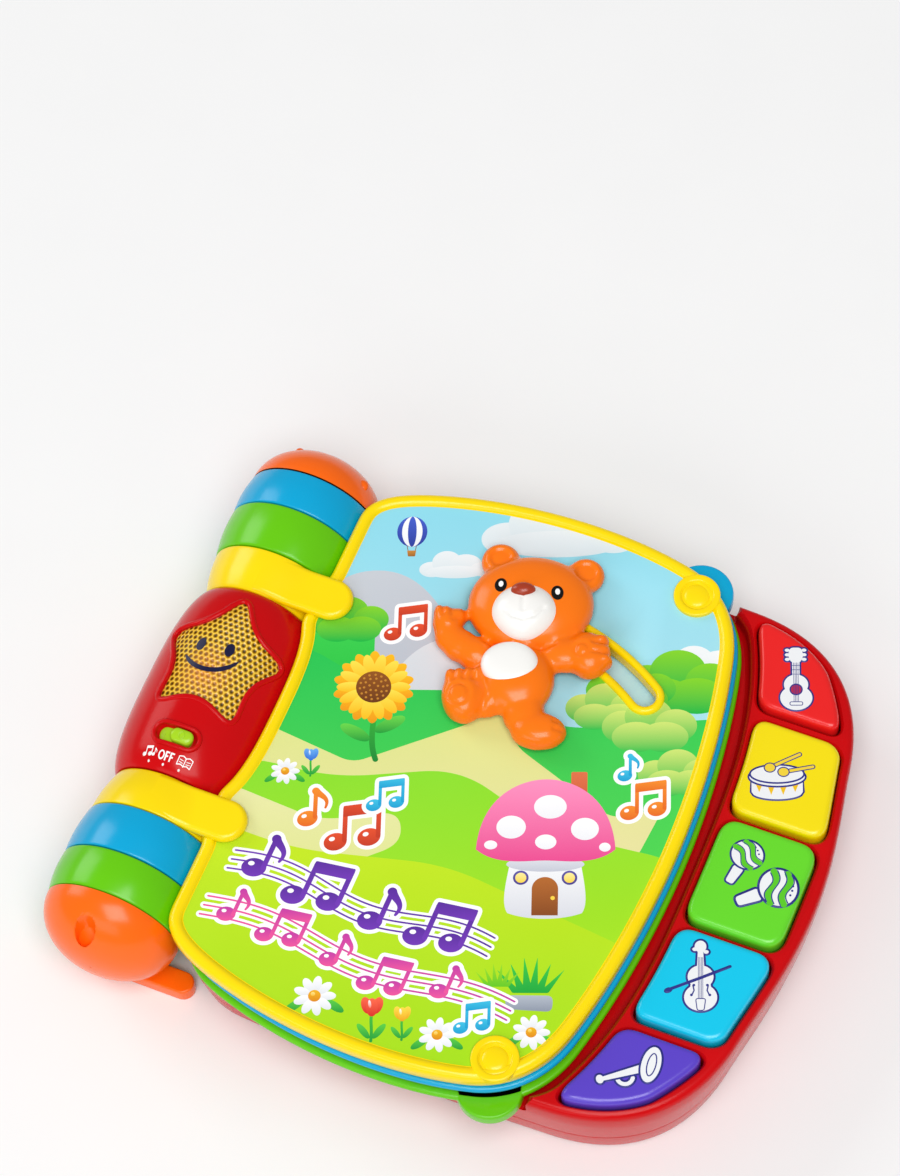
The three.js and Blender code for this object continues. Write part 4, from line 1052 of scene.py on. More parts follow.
def draped(outline, profile):
    """The outline repeated at each [inset, lift] of the profile and laid round the barrel."""
    rings = [on_barrel(*inset(outline, distance).T, lift) for distance, lift in profile]
    return np.concatenate(rings), ring_faces(len(rings), len(outline))


def unroll(mesh):
    """UV map `unrolled`: arc length round the spine and place along it, in metres."""
    places = np.empty(len(mesh.vertices) * 3)
    mesh.vertices.foreach_get("co", places)
    x, y, z = places.reshape(-1, 3).T
    corner = np.empty(len(mesh.loops), dtype=np.int32)
    mesh.loops.foreach_get("vertex_index", corner)
    s = BARREL[0] * MM * np.arctan2(x, z - AXIS_Z * MM)
    layer = mesh.uv_layers.new(name="unrolled")
    layer.data.foreach_set("uv", np.stack([s, y], axis=1)[corner].ravel())


def ring_skin(index, side, edge, bulge):
    """Spine ring number `index`: its outer radius runs between the sizes of its ends and swells midway."""
    y0, y1 = RING_ENDS[index] + 0.2, RING_ENDS[index + 1] - 0.2
    r0, r1 = RING_RADII[index] + (0.3 if index == 1 else 0), RING_RADII[index + 1]
    t = np.linspace(0, 1, 13)
    outer = np.stack([r0 + (r1 - r0) * t + bulge * np.sin(np.pi * t), y0 + (y1 - y0) * t], axis=1)
    corners = [(BORE + 0.2, y0), *outer.tolist(), (BORE + 0.2, y1)]
    radius = [0.3, edge, *[0] * 11, edge, 0.3]
    return turned(softened(corners, radius, 5, True), side)


def ring_height(x, y):
    """Height of the first ring's surface above the table."""
    t = np.clip((np.abs(y) - RING_ENDS[0]) / (RING_ENDS[1] - RING_ENDS[0]), 0, 1)
    radius = RING_RADII[0] + (RING_RADII[1] - RING_RADII[0]) * t + 0.8 * np.sin(np.pi * t)
    return AXIS_Z + np.sqrt(np.clip(radius**2 - x**2, 0, None))


def strap_skin(side, edge):
    """A tongue that leaves the ring's surface and levels out over the cover, with a round end.

    Its top is a soft maximum of the ring's height and 52.4, less a quarter round at the edge.
    """
    end, half, flat = 28.0, 8.45, 52.4
    tip = end + half * np.sin(np.linspace(0, np.pi / 2 - 0.03, 36))[1:]
    x = np.concatenate([np.linspace(-1, end, 50), tip])[:, None]
    width = np.where(x < end, half, np.sqrt(np.clip(half**2 - (x - end) ** 2, 0, None)))
    share = np.sin(np.linspace(-np.pi / 2, np.pi / 2, 61))[None, :]
    across = width * share
    away = np.where(x < end, half - np.abs(across), half - np.hypot(np.maximum(x - end, 0), across))
    high = ring_height(x, side * (49.6 + across)) - 0.1
    soft = np.clip(0.5 + 0.5 * (high - flat) / 4.0, 0, 1)
    top = flat + (high - flat) * soft + 4.0 * soft * (1 - soft)
    t = np.clip(away / edge, 0, 1)
    top = top - edge * (1 - np.sqrt(1 - (1 - t) ** 2))
    front = np.stack([x + 0 * across, side * (49.6 + across), top], axis=-1)
    return wall_between(front, front * (1, 1, 0) + (0, 0, 49.8))


class SOUNDBOOK_OT_spine(bpy.types.Operator):
    """Moulds the barrel with its star lens and switch, the yellow rings with their straps and the end caps"""

    bl_idname = "sound_book.spine"
    bl_label = "Spine"

    def execute(self, context):
        """Builds every piece that turns about the spine or carries it."""
        depth, lip = mm("star_depth"), mm("star_lip")
        outline = resampled(anticlockwise(star(0, 8, mm("star_tip"), mm("star_valley"), round_off=0.38)), 300)
        slot = stadium(-1.2, -26.7, 17.6, 6.6)
        s, y = np.meshgrid(np.linspace(-48.6, 48.6, 172), np.linspace(-40.55, 40.55, 145))
        lift = -depth * eased(-distance_to(outline[::2], s, y), -0.4, 0.9)
        lift -= 2.4 * eased(-distance_to(slot, s, y), -0.3, 0.6)
        barrel = wall_between(on_barrel(s, y, lift), on_barrel(s, y, -3.2))
        star_path = on_barrel(*outline.T, -0.1)
        switch_path = resampled(stadium(-1.2, -26.7, 19.2, 8.2, 30), 160)
        rims = [
            tube(star_path, self.outwards(star_path), lip, 0.75),
            tube(on_barrel(*switch_path.T, 0.0), self.outwards(on_barrel(*switch_path.T)), 1.0, 1.1),
        ]
        put("star_housing_shell", [barrel, *rims], finish("shell", shine=DULL), "root", ["star_housing"])
        # The slot's floor is near-black: painted shade in the slot round and under the switch's plate
        put(
            "switch_floor",
            [draped(slot, [(-0.3, -3.0), (-0.3, -2.7), (1, -2.7), (3.1, -2.7)])],
            plain("slot_dark", 0x141210, roughness=0.6),
            "root",
        )
        self.lens(outline, depth)
        self.legend()
        knob = resampled(stadium(1.3, -26.7, 9.4, 5.4, 24), 120)
        shutter = resampled(stadium(-1.6, -26.7, 15.2, 5.8, 24), 120)
        plate = draped(shutter, [(0, -2.6), (0, -2.1), (0.2, -1.95), (1, -1.95), (2.8, -1.95)])
        mark = on_barrel(*ellipse(1.3, -26.7, 1.0, 1.3, steps=40).T, 1.36)
        profile = [(0, -2.0), (0, 0.3), (0.2, 0.8), (0.6, 1.15), (1.1, 1.3), (1.8, 1.38), (2.5, 1.4)]
        skins = [draped(knob, profile), plate, tube(mark, self.outwards(mark), 0.22, 0.22, 8)]
        put("switch_knob", skins, finish("knob"), "mode_switch", ["mode_switch"])
        for side, label in ((1, "upper"), (-1, "lower")):
            skins = [ring_skin(0, side, mm("ring_edge"), mm("ring_bulge")), strap_skin(side, mm("strap_edge"))]
            put(f"strap_{label}", skins, finish("cover"), "cover", [f"cover_ring_{label}"])
            self.cap(side, label)
        return {"FINISHED"}

    def outwards(self, path):
        """Unit normals of the barrel along a path."""
        normal = path * (1, 0, 1) - (0, 0, AXIS_Z)
        return normal / np.linalg.norm(normal, axis=1)[:, None]

    def lens(self, outline, depth):
        """The lens in rings from its middle to the star's edge, and the printed eyes and smile."""
        middle = np.array([0, 8.0])
        rows = [(t, -depth + 0.25) for t in np.linspace(0.01, 0.995, 60)] + [(0.995, -2.9), (0.01, -2.9)]
        rings = [on_barrel(*(middle + t * (outline - middle)).T, lift) for t, lift in rows]
        skin = np.concatenate(rings), ring_faces(len(rings), len(outline))
        glass = lens_glass("lens_amber", mm("cell_pitch") * MM)
        lens = put("star_lens_glass", [skin], glass, "root", ["star_lens"])
        unroll(lens.data)
        smile = bezier_chain((-13.4, 6.6), [((-7.5, 0.6), (3.2, 0.6), (8.4, 10.0))], 40)
        width = 1.9 * np.sqrt(np.clip(1 - np.linspace(-1, 1, len(smile)) ** 4, 0.02, None))
        low, high = -depth + 0.1, -depth + 0.36
        marks = [oval(-9.0, 12.2, 1.9, 2.8), oval(3.2, 13.0, 1.9, 2.8), ribbon(smile, width)]
        ink = plain("lens_ink", 0x14163E, roughness=0.35)
        put("lens_marks", [on_lens(mark, low, high) for mark in marks], ink, "root")

    def legend(self):
        """White symbols below the switch: notes, OFF, an open book, and a dot under each place."""
        sheet = Print(polygon([(-14, -41), (12, -41), (12, -30), (-14, -30)]))
        white = (0xFFFFFF, 0xFFFFFF)
        halves = ((-90, 90), (90, 270))
        letters = [stroke(arc(-1.6, 0, 1.0, a, b, 14) * (1, 1.35), 0.55) for a, b in halves]
        for x in (0.2, 2.1):
            letters += [
                polygon([(x - 0.3, -1.6), (x + 0.3, -1.6), (x + 0.3, 1.6), (x - 0.3, 1.6)], 0.1),
                polygon([(x - 0.3, 1.0), (x + 1.3, 1.0), (x + 1.3, 1.6), (x - 0.3, 1.6)], 0.1),
                polygon([(x - 0.3, -0.3), (x + 1.0, -0.3), (x + 1.0, 0.3), (x - 0.3, 0.3)], 0.1),
            ]
        page_pair = []
        for side in (-1, 1):
            corners = ((0, -1.3), (1.3, -0.9), (2.7, -1.3), (2.7, 1.5), (1.3, 1.9), (0, 1.4))
            sheet_edge = [(side * x, y) for x, y in corners]
            page_pair += [stroke([a, b], 0.34) for a, b in zip(sheet_edge, sheet_edge[1:])]
            page_pair.append(stroke([(side * 0.7, 0.4), (side * 2.1, 0.6)], 0.26))
            page_pair.append(stroke([(side * 0.7, -0.4), (side * 2.1, -0.2)], 0.26))
        page_pair.append(stroke([(0, -1.5), (0, 1.4)], 0.34))
        sheet.stamp([(shape, *white) for shape in letters], -2.1, -35.2, 1.1, 0)
        sheet.stamp([(shape, *white) for shape in page_pair], 6.6, -35.2, 1.1, 0)
        sheet.stamp([(shape, *white) for shape, _, _ in two_notes()[:5]], -10.6, -35.5, 0.3, 0)
        sheet.stamp([(shape, *white) for shape, _, _ in note()[:3]], -7.6, -35.8, 0.24, 0)
        for x in (-9.0, -1.9, 5.6):
            sheet.add(ellipse(x, -38.4, 0.5, steps=16), *white)
        place = lambda x, y: on_barrel(x, y, 0.1)
        put_print("switch_legend", sheet, place, printed("legend_white"), "root", bare=True)

    def cap(self, side, label):
        """A dome about the spine's end; the lower one dips into a screw well, the upper one has two nubs."""
        turn = np.linspace(0, np.pi / 2 - 0.01, 48)
        dome = np.stack([RING_RADII[3] * np.cos(turn) ** 0.92, 94.2 + CAP_LENGTH * np.sin(turn)], axis=1)
        inner = np.stack([24.0 * np.cos(turn[::-4]), 94.2 + (CAP_LENGTH - 2.2) * np.sin(turn[::-4])], axis=1)
        points, faces = turned(np.concatenate([dome, inner]), side, 240)
        skins = [(points, faces)]
        if side < 0:
            away = np.hypot(points[:, 0] + 2.2, points[:, 1] + 107.6)
            high = points[:, 2] > AXIS_Z + 8
            points[:, 2] -= np.where(high, 7.0 * (1 - eased(away, 3.0, 4.2)), 0)
        else:
            skins += [self.nub(-42, 48, 1.8), self.nub(50, 24, 2.6)]
        foot = slab(resampled(stadium((BASE[0] - 14) / 2, side * 98.75, BASE[0] + 13, 9), 160), 0, 7, 1.2, 0.8)
        name = f"end_cap_{label}"
        put(f"{name}_shell", [*skins, foot], finish("cap"), "root", [name])

    def nub(self, round_turn, rise_turn, radius):
        """A flat lump on the upper cap's dome, at angles round the spine and towards its end."""
        a, b = math.radians(round_turn), math.radians(rise_turn)
        reach = 25.4 * math.cos(b)
        centre = (reach * math.sin(a), 94.2 + CAP_LENGTH * math.sin(b), AXIS_Z + reach * math.cos(a))
        return ball(centre, (radius, radius, 0.6 * radius))


class SOUNDBOOK_OT_base(bpy.types.Operator):
    """Moulds the two shells of the base and lays its printed page"""

    bl_idname = "sound_book.base"
    bl_label = "Base"

    def execute(self, context):
        """Sweeps the outline for each shell, then cuts the step for the pages and the wells of the keys."""
        outline = resampled(base_outline(*BASE), 640)
        edge = mm("base_edge")
        split = BASE_SPLIT + mm("parting") / 2
        corners = [(2.6, split), (2.2, split), (0, HOUSING_TOP - 8), (0, HOUSING_TOP), (9.5, HOUSING_TOP)]
        body = swept(outline, softened(corners, [0, 0.3, 4, edge, 0], 10))
        step = self.step_outline()
        lip = [(1.6, DECK_Z), (0, DECK_Z + 1), (0, HOUSING_TOP - 2.2), (-2.4, HOUSING_TOP + 0.6)]
        cutters = [[swept(step, [*softened(lip, [0, 1, 1.8, 0], 8), (-2.4, HOUSING_TOP + 3)])]]
        for y in (-TABS[1], TABS[1]):
            round_step = ellipse(TABS[0], y, TABS[2] + 2.5, steps=120)
            cutters.append([swept(round_step, [*softened(lip, [0, 1, 1.8, 0], 8), (-2.4, HOUSING_TOP + 3)])])
        rim = mm("well_lip")
        for y0, y1 in KEYS.values():
            well = key_outline(y0, y1, 0.16, 0.5)
            wall = [(0.2, 29.6), (0, 29.8), (0, HOUSING_TOP - rim), (-rim, HOUSING_TOP + 0.1)]
            cutters.append([swept(well, [*softened(wall, [0, 0.1, rim, 0], 8), (-rim, HOUSING_TOP + 2)])])
        mesh = carved("base_upper", body, cutters)
        tie("base_upper_moulding", mesh, finish("shell", shine=DULL), "root", ["base_upper_shell"], 30)
        self.lower(outline, BASE_SPLIT - mm("parting"))
        sheet = Print(inset(resampled(book_outline(BASE[0] + 6, PAGE[1], 106), 300), 4), [])
        meadow(sheet, 0x9ADCF0, 0xD8F2FA)
        place, card = level(DECK_Z + 0.3), printed("lacquered_card")
        put_print("base_page", sheet, place, card, "root", ["base_page_print"], 0.25)
        return {"FINISHED"}

    def step_outline(self):
        """The pages' outline with a margin, drawn out on the right to just short of the keys."""
        x, y = inset(resampled(book_outline(*PAGE), 600), -4.0).T
        keys = key_edge(y, *KEY_INNER) - 3.9
        out = np.where((x > 150) & (np.abs(y) < 104), np.maximum(x, keys), x)
        return resampled(smoothed(np.stack([out, y], axis=1), 24), 480)

    def lower(self, outline, top):
        """The tray of the base, its battery door, screw holes and speaker grille, and the barrel's trough."""
        side = softened([(9.5, 0), (4.6, 0), (2.3, top), (9.5, top)], [0, 2.2, 0.4, 0], 8)
        tray = swept(outline, side)
        cutters = []
        for x, y in self.screws():
            cutters.append([slab(ellipse(x, y, 3.2, steps=48), -2, 8, 0.2, 0.2)])
        door = resampled(softened([(131.8, -25.2), (168.2, -25.2), (168.2, 25.2), (131.8, 25.2)], 1, 6, True), 160)
        cutters.append([slab(door, -2, 1.8, 0.1, 0.1)])
        for count, radius in ((1, 0), (6, 8), (12, 15)):
            for i in range(count):
                angle = 2 * math.pi * i / count
                hole = ellipse(92 + radius * math.cos(angle), radius * math.sin(angle), 2, steps=24)
                cutters.append([slab(hole, -2, 3, 0.1, 0.1)])
        mesh = carved("base_lower", tray, cutters)
        tie("base_lower_tray", mesh, finish("shell", shine=DULL), "root", ["base_lower_shell"], 30)
        turn, y = np.meshgrid(np.linspace(np.pi / 2 + 0.005, 1.5 * np.pi - 0.005, 64), np.linspace(-40.55, 40.55, 50))
        s = turn * BARREL[0]
        outer, inner = on_barrel(s, y), on_barrel(s, y, -2.2)
        outer[..., 2] = np.clip(outer[..., 2], 0, AXIS_Z - 0.15)
        inner[..., 2] = np.clip(inner[..., 2], 2.2, AXIS_Z - 0.15)
        bridge = resampled(polygon([(20, -37.5), (40, -37.5), (40, 37.5), (20, 37.5)], 1), 120)
        skins = [wall_between(outer, inner), slab(bridge, 0, 13.6, 1.2, 1.2)]
        put("barrel_trough", skins, finish("shell", shine=DULL), "root", [])
        panel = resampled(softened([(132.1, -24.9), (167.9, -24.9), (167.9, 24.9), (132.1, 24.9)], 1, 6, True), 160)
        lid = slab(panel, 0, 1.8, 0.3, 0.5)
        put("battery_lid", [lid], finish("shell", shine=DULL), "root", ["battery_door"])

    def screws(self):
        """Places of the four base screws."""
        boxes = [box_mm(f"base_screw_{i + 1}") for i in range(4)]
        return [((low[0] + high[0]) / 2, (low[1] + high[1]) / 2) for low, high in boxes]


def meadow(sheet, low, high):
    """A plain landscape for the pages inside: sky, two hills, a pond, bushes and flowers."""
    outline = sheet.outlines[0]
    sheet.add(inset(outline, 0.02), low, high)
    x0, y0 = outline.min(axis=0)
    x1, y1 = outline.max(axis=0)
    for y, depth, near, far in ((0.36, 14, 0x3EC84A, 0x8ADF4A), (0.22, -10, 0x22B040, 0x5ED24A)):
        left, right = (x0 + 0.5, y0 + y * (y1 - y0) - 12), (x1 - 0.5, y0 + y * (y1 - y0) + 22)
        hill = wave(*left, *right, depth, 0.9, 60)
        sheet.add(clipped(np.concatenate([hill, [(x1, y0), (x0, y0)]]), outline), near, far)
    sheet.add(ellipse(150, -58, 20, 7, 21), 0x3AA6E0, 0x9ADCF6)
    sheet.stamp(bush(), 64, 2, 0.9)
    sheet.stamp(bush(0x12A03A, 0x6ED23A), 150, 34, 0.8)
    sheet.stamp(cloud(), 70, 70, 0.9)
    sheet.stamp(cloud(), 138, 84, 0.7)
    tulips = (
        (60, -52, (0xE23A6A, 0xFF8AB0)),
        (84, -70, (0xF29A0E, 0xFFD84A)),
        (118, -84, (0x7A4AC8, 0xB49AF0)),
    )
    for x, y, inks in tulips:
        sheet.stamp(tulip(*inks), x, y, 0.9)
    sheet.stamp(two_notes(0x6A4AD8, 0x4A2EB0), 100, 20, 1.2, border=1.1)
    sheet.stamp(note(0xFF7A2E, 0xE0501A), 120, 52, 1.3, border=1.1)
    sheet.stamp(daisy(), 134, -30, 0.8)


def clipped(outline, limit):
    """Points outside `limit` move onto its nearest point; used where an outline runs past its panel."""
    outline = resampled(anticlockwise(np.array(outline, float)), 260)
    outside = distance_to(limit, *outline.T) > -0.05
    nearest = np.linalg.norm(outline[:, None] - limit[None], axis=2).argmin(axis=1)
    inner = inset(limit, 0.06)
    return np.where(outside[:, None], inner[nearest], outline)


class SOUNDBOOK_OT_keys(bpy.types.Operator):
    """Moulds the five keys and prints an instrument on each"""

    bl_idname = "sound_book.keys"
    bl_label = "Keys"

    def execute(self, context):
        """A rounded cap for each key and its printed instrument."""
        shakers = [*self.moved(maraca(-32), -4.2, 5.4, 1.05), *self.moved(maraca(-70), 3.6, -5.6, 1.3)]
        icons = {
            "red": (guitar(), 202.5, 82.0, 0.92),
            "yellow": (drum(), 209.3, 43.4, 1.0),
            "green": (shakers, 215.2, 0.9, 1.0),
            "blue": (violin(), 212.0, -42.6, 1.06),
            "purple": (trumpet(), 201.5, -83.4, 1.05),
        }
        edge = mm("key_edge")
        for name, (y0, y1) in KEYS.items():
            outline = key_outline(y0, y1, 0.18)
            corners = [(0, 33.4), (0, KEY_TOP), (9, KEY_TOP)]
            profile = [(0.4, 33.2), *softened(corners, [0, edge, 0], 12)]
            rings = [np.column_stack([shrunk(outline, inwards), np.full(len(outline), z)]) for inwards, z in profile]
            skin = np.concatenate(rings), ring_faces(len(rings), len(outline))
            key = f"key_{name}"
            put(f"{key}_cap", [skin], finish(key), key, [key])
            motif, x, y, size = icons[name]
            sheet = Print(ellipse(x, y, 24, steps=60))
            sheet.stamp(motif, x, y, size)
            place = level(KEY_TOP + 0.04)
            put_print(f"{key}_picture", sheet, place, printed("key_ink"), key, bare=True)
        return {"FINISHED"}

    def moved(self, motif, x, y, size):
        """The motif's outlines scaled and shifted."""
        return [(outline * size + (x, y), near, far) for outline, near, far in motif]


class SOUNDBOOK_OT_pages(bpy.types.Operator):
    """Moulds the blue and green pages with their tabs and spine rings, and prints their upper sides"""

    bl_idname = "sound_book.pages"
    bl_label = "Pages"

    def execute(self, context):
        """A recessed plate, a tab, two arms and two rings for each page."""
        self.page("blue_page", BLUE_Z, 1, {-1: 1, 1: 2}, "blue_frame", (0x8AD6F2, 0xD0F0FA), 0)
        self.page("green_page", GREEN_Z, -1, {1: 1, -1: 2}, "green_frame", (0xA6DCF8, 0xE4F6FC), 1.1)
        return {"FINISHED"}

    def page(self, name, z, tab, rings, slot, sky, grown):
        """One page; `rings` gives the number of the ring at each end of the spine."""
        edge, top = mm("plate_edge"), z + PAGE_THICKNESS
        outline = resampled(book_outline(PAGE[0], PAGE[1] + 1.6 + grown, PAGE[2] + 0.6 + grown), 400)
        corners = [(0, z), (0, top), (5.4, top), (5.4, top - 0.8), (6.4, top - 0.8)]
        side = softened(corners, [edge, edge, 1.6, 0.2, 0], 8)
        lower = [(6.4, z + 0.8), (5.4, z + 0.8), (5.4, z), (edge, z)]
        plate = swept(outline, [*lower, *side[1:]])
        rim = ellipse(TABS[0], tab * TABS[1], TABS[2], steps=160)
        skins = [plate, slab(rim, z, top, edge, edge)]
        for way, index in rings.items():
            skins.append(ring_skin(index, way, mm("ring_edge"), mm("ring_bulge")))
            y0, y1 = sorted((way * (RING_ENDS[index] + 0.6), way * (RING_ENDS[index + 1] - 0.6)))
            arm = polygon([(19, y0), (36, y0), (36, y1), (19, y1)], 1)
            skins.append(slab(resampled(arm, 120), z + 0.5, top - 0.5, 1.2, 1.2))
        put(name + "_moulding", skins, finish(name), "root", [name])
        sheet = Print(inset(outline, 5.5))
        meadow(sheet, *sky)
        place, card, replaced = level(top - 0.3), printed("lacquered_card"), [name + "_print"]
        put_print(name + "_sheet", sheet, place, card, "root", replaced, 0.4)


def cover_outline():
    """The cover's outline, its left edge drawn in beside the waist of the barrel and clear of it as it turns."""
    outline = resampled(book_outline(*COVER, 23), 900)
    x, y = outline.T
    clear = np.sqrt((barrel_radius(y) + 1.9) ** 2 - 17.2**2)
    beside = np.where(np.abs(y) < 38, clear, 0).clip(20.5)
    beside = beside + (COVER[0] - beside) * eased(np.abs(y), 54.0, 60.0)
    left = (x < COVER[0] + 0.02) & (np.abs(y) < 60)
    outline = np.stack([np.where(left, beside, x), y], axis=1)
    return smoothed(outline, 10)


class SOUNDBOOK_OT_cover(bpy.types.Operator):
    """Moulds the cover with its bead, slot and corner knobs, and prints both of its sides"""

    bl_idname = "sound_book.cover"
    bl_label = "Cover"

    def execute(self, context):
        """The frame is swept from the outline and cut through at the slot; beads and knobs stand on it."""
        top, floor, bead = COVER_Z + COVER_THICKNESS, COVER_Z + COVER_THICKNESS - RIM_FLOOR, mm("bead")
        outline = cover_outline()
        turn = np.linspace(0, math.radians(154), 16)
        rise = 2.6
        crown = np.stack([bead * (1 - np.cos(turn)), top - 2.35 + rise * np.sin(turn)], axis=1)
        rise = [(6.6, 1), (5.4, 1), (5.4, 0), (1.4, 0), (0.3, 0.5), (0, 1.6)]
        wall = [(inwards, COVER_Z + z) for inwards, z in rise]
        profile = np.concatenate([wall, crown, [(6.6, floor)]])
        cutter = swept(arc_band(SLOT_HALF + 1.5), [(0, COVER_Z - 3), (0, top + 3)])
        plate = self.clear(swept(outline, profile), 1.6)
        mesh = carved("cover", plate, [[cutter]])
        tie("cover_moulding", mesh, finish("cover"), "cover", ["cover_frame"], 30)
        self.trim(top, floor)
        self.picture(outline, floor)
        return {"FINISHED"}

    def clear(self, skin, gap):
        """Moves points away from the spine until they lie `gap` outside the barrel or the rings beyond it."""
        points, faces = skin
        x, y, z = points.T
        bulge = mm("ring_bulge") / 4
        ring = np.interp(np.abs(y), RING_ENDS, RING_RADII) + bulge
        beside = np.where(np.abs(y) < RING_ENDS[1] - 0.3, 0, ring)
        radius = np.where(np.abs(y) < RING_ENDS[0], barrel_radius(y), beside)
        least = np.sqrt(np.clip((radius + gap) ** 2 - (z - AXIS_Z) ** 2, 0, None))
        return np.column_stack([np.where(x < 34, np.maximum(x, least), x), y, z]), faces

    def trim(self, top, floor):
        """The bead round the slot, and a knob with a ball and a coil at two corners."""
        width = mm("slot_bead") / 2
        turn = np.linspace(0, np.pi, 14)
        crown = np.stack([-width * (1 - np.cos(turn)), top - 0.7 + 1.6 * np.sin(turn)], axis=1)
        band = swept(arc_band(SLOT_HALF), [(0, COVER_Z + 1.4), *crown, (-2 * width, COVER_Z + 1.4)], True)
        skins = [band]
        for side in (-1, 1):
            x, y = KNOBS[0], side * KNOBS[1]
            disc = ellipse(x, y, KNOBS[2], steps=140)
            rise = [(0, -0.3), (0, 0.7), (2.6, 0.7), (2.8, -0.2), (8.4, -0.2)]
            edge = [(0, floor - 1), *[(inwards, top + z) for inwards, z in rise]]
            skins.append(swept(disc, softened(edge, [0, 0.3, 1.3, 1.3, 0.4, 0], 8)))
            skins.append(ball((x, y, top - 0.4), (4.9, 4.9, 1.25)))
            coil = np.radians(np.linspace(40, 330, 60))
            reach = np.linspace(5.9, 6.4, 60)
            path = np.stack([x + reach * np.cos(coil), y + reach * np.sin(coil)], axis=1)
            skins.append(swept(stroke(path, 1.1), [(0, top - 0.4), (0.05, top - 0.05), (0.3, top + 0.2)]))
        put("cover_trim", skins, finish("cover"), "cover", [])

    def picture(self, outline, floor):
        """The printed landscape inside the bead, and the plain card on the cover's back."""
        panel = resampled(inset(outline, 4.8), 500)
        sheet = Print(panel, [arc_band(SLOT_HALF + 1.6)])
        self.landscape(sheet, panel)
        self.music(sheet)
        card = printed("lacquered_card")
        place = level(floor + 0.07)
        put_print("cover_picture", sheet, place, card, "cover", ["cover_print_front"])
        back = Print(resampled(inset(outline, 5.9), 400), [arc_band(SLOT_HALF + 1.6)])
        back.add(inset(back.outlines[0], 0.02), 0xE6F4C8, 0xBCE6F4)
        for x, y, size in ((64, 60, 1.4), (132, 84, 1.0), (70, -30, 1.2), (140, -60, 1.5)):
            back.stamp(two_notes(0x5CC8E8, 0x3AA6D0), x, y, size, border=1.0)
        place = level(COVER_Z + 0.75)
        put_print("cover_back_card", back, place, card, "cover", ["cover_print_back"], 0.4)

    def landscape(self, sheet, panel):
        """Sky, clouds, round hills, meadows, a winding path and bushes."""

        def land(corners, near, far, radius=12):
            shape = softened(corners, radius, 10, True)
            sheet.add(clipped(shape, panel), near, far)

        sheet.add(inset(panel, 0.02), 0xC9E9EE, 0x8FDCEE)
        sheet.stamp(cloud(0xDCE9EE, 0xE9F0F3), 97, 107, 1.7)
        sheet.stamp(cloud(0xDCE9EE, 0xEFF4F6), 66, 80, 0.8)
        sheet.stamp(cloud(0xE4ECF0, 0xF4F7F8), 170, 73, 1.1)
        land([(20, 20), (24, 62), (52, 74), (88, 46), (104, 10)], 0xB5BCC8, 0xC9CED6, 20)
        land([(58, 10), (66, 50), (98, 56), (128, 24), (128, 0)], 0xC2C9D2, 0xDCE1E6, 20)
        land([(20, 0), (20, 52), (46, 50), (56, 24), (60, -10)], 0x0DB832, 0x3ED653, 9)
        land([(20, -40), (22, 30), (60, 22), (98, 36), (128, 30), (192, 60), (192, -60)], 0x5BDC4E, 0x24C653, 12)
        bend = [(62, -10), (98, 22), (99, 32), (105, 33), (116, 18), (160, 3), (176, 14), (174, -10)]
        land([(20, -6), *bend, (120, -24), (20, -50)], 0xE9E2A0, 0xDDE58A, 5)
        land([(20, -22), (58, -18), (100, 2), (140, -10), (192, -4), (192, -125), (20, -125)], 0xB2E40A, 0x8BE02C, 14)
        land([(20, -34), (60, -36), (86, -22), (92, -34), (60, -64), (50, -90), (20, -90)], 0xD9E27E, 0xE9E9A8, 8)
        land([(20, -50), (56, -50), (110, -36), (192, -44), (192, -125), (20, -125)], 0xA4DE12, 0xC6E81C, 14)
        for x, y, size in ((38, 42, 0.9), (164, 60, 1.25), (148, 52, 1.0)):
            sheet.stamp(bush(0x10B844, 0x86D626), x, y, size)
        for x, y, size in ((142, 42, 0.9), (160, 40, 1.05), (177, 26, 0.9)):
            sheet.stamp(bush(0x2CC04C, 0xD2E876), x, y, size)

    def music(self, sheet):
        """Two rows of notes on waving lines, and the motifs that stand round them."""
        sheet.stamp(balloon(), 45, 88, 0.72)
        sheet.stamp(sunflower(), 57, 22, 1.12)
        sheet.stamp(toadstool(), 143, -20, 1.5)
        sheet.stamp(grass(0x18A83C, 0x3CCB46), 158, -72, 1.7)
        sheet.stamp(grass(0x63C81E, 0x96DC28), 146, -74, 1.1)
        sheet.add(polygon([(150, -76), (166, -70), (168, -76), (152, -81)], 2.4), 0x8E97A8, 0xB4BCC8)
        for x, y, size in ((40, -22, 0.8), (164, -86, 1.0)):
            sheet.stamp(daisy(), x, y, size)
        sheet.stamp(tulip(0x2A6AD8, 0x6AB0F4), 47, -14, 0.7)
        sheet.stamp(daisy(), 86, -101, 1.15)
        sheet.stamp(tulip(0xD8261E, 0xFF6A4A), 108, -100, 1.05)
        sheet.stamp(tulip(0xF0A40E, 0xFFE04A), 119, -98, 0.8)
        sheet.stamp(daisy(0xE8ECF2, 0xFFFFFF), 133, -99, 1.0)
        rows = (
            (36.0, 138.0, -62.0, 0x5A2C9E, 0x7438B8, 1.5, 24.0),
            (34.0, 154.0, -82.5, 0xC23AA6, 0xF0569E, 1.15, 21.0),
        )
        for x0, x1, y, low, high, size, step in rows:
            paths = [wave(x0, y + 2.4 * i, x1, y + 2.4 * i, 2.6, 1.4, 80) for i in (-1.6, 0, 1.6)]
            for path in paths:
                sheet.add(stroke(path, 2.6), 0xFFFFFF)
            places = np.arange(x0 + 9, x1 - 6, step)
            marks = [two_notes(low, high) if i % 2 else note(low, high) for i in range(len(places))]
            lifts = 2.6 * np.sin(2 * np.pi * 1.4 * (places - x0) / (x1 - x0))
            for mark, x, lift in zip(marks, places, lifts):
                for outline, _, _ in mark[:-1]:
                    grown = inset(anticlockwise(outline * size + (x, y + lift - 2)), -1.5)
                    sheet.add(grown, 0xFFFFFF)
            for path in paths:
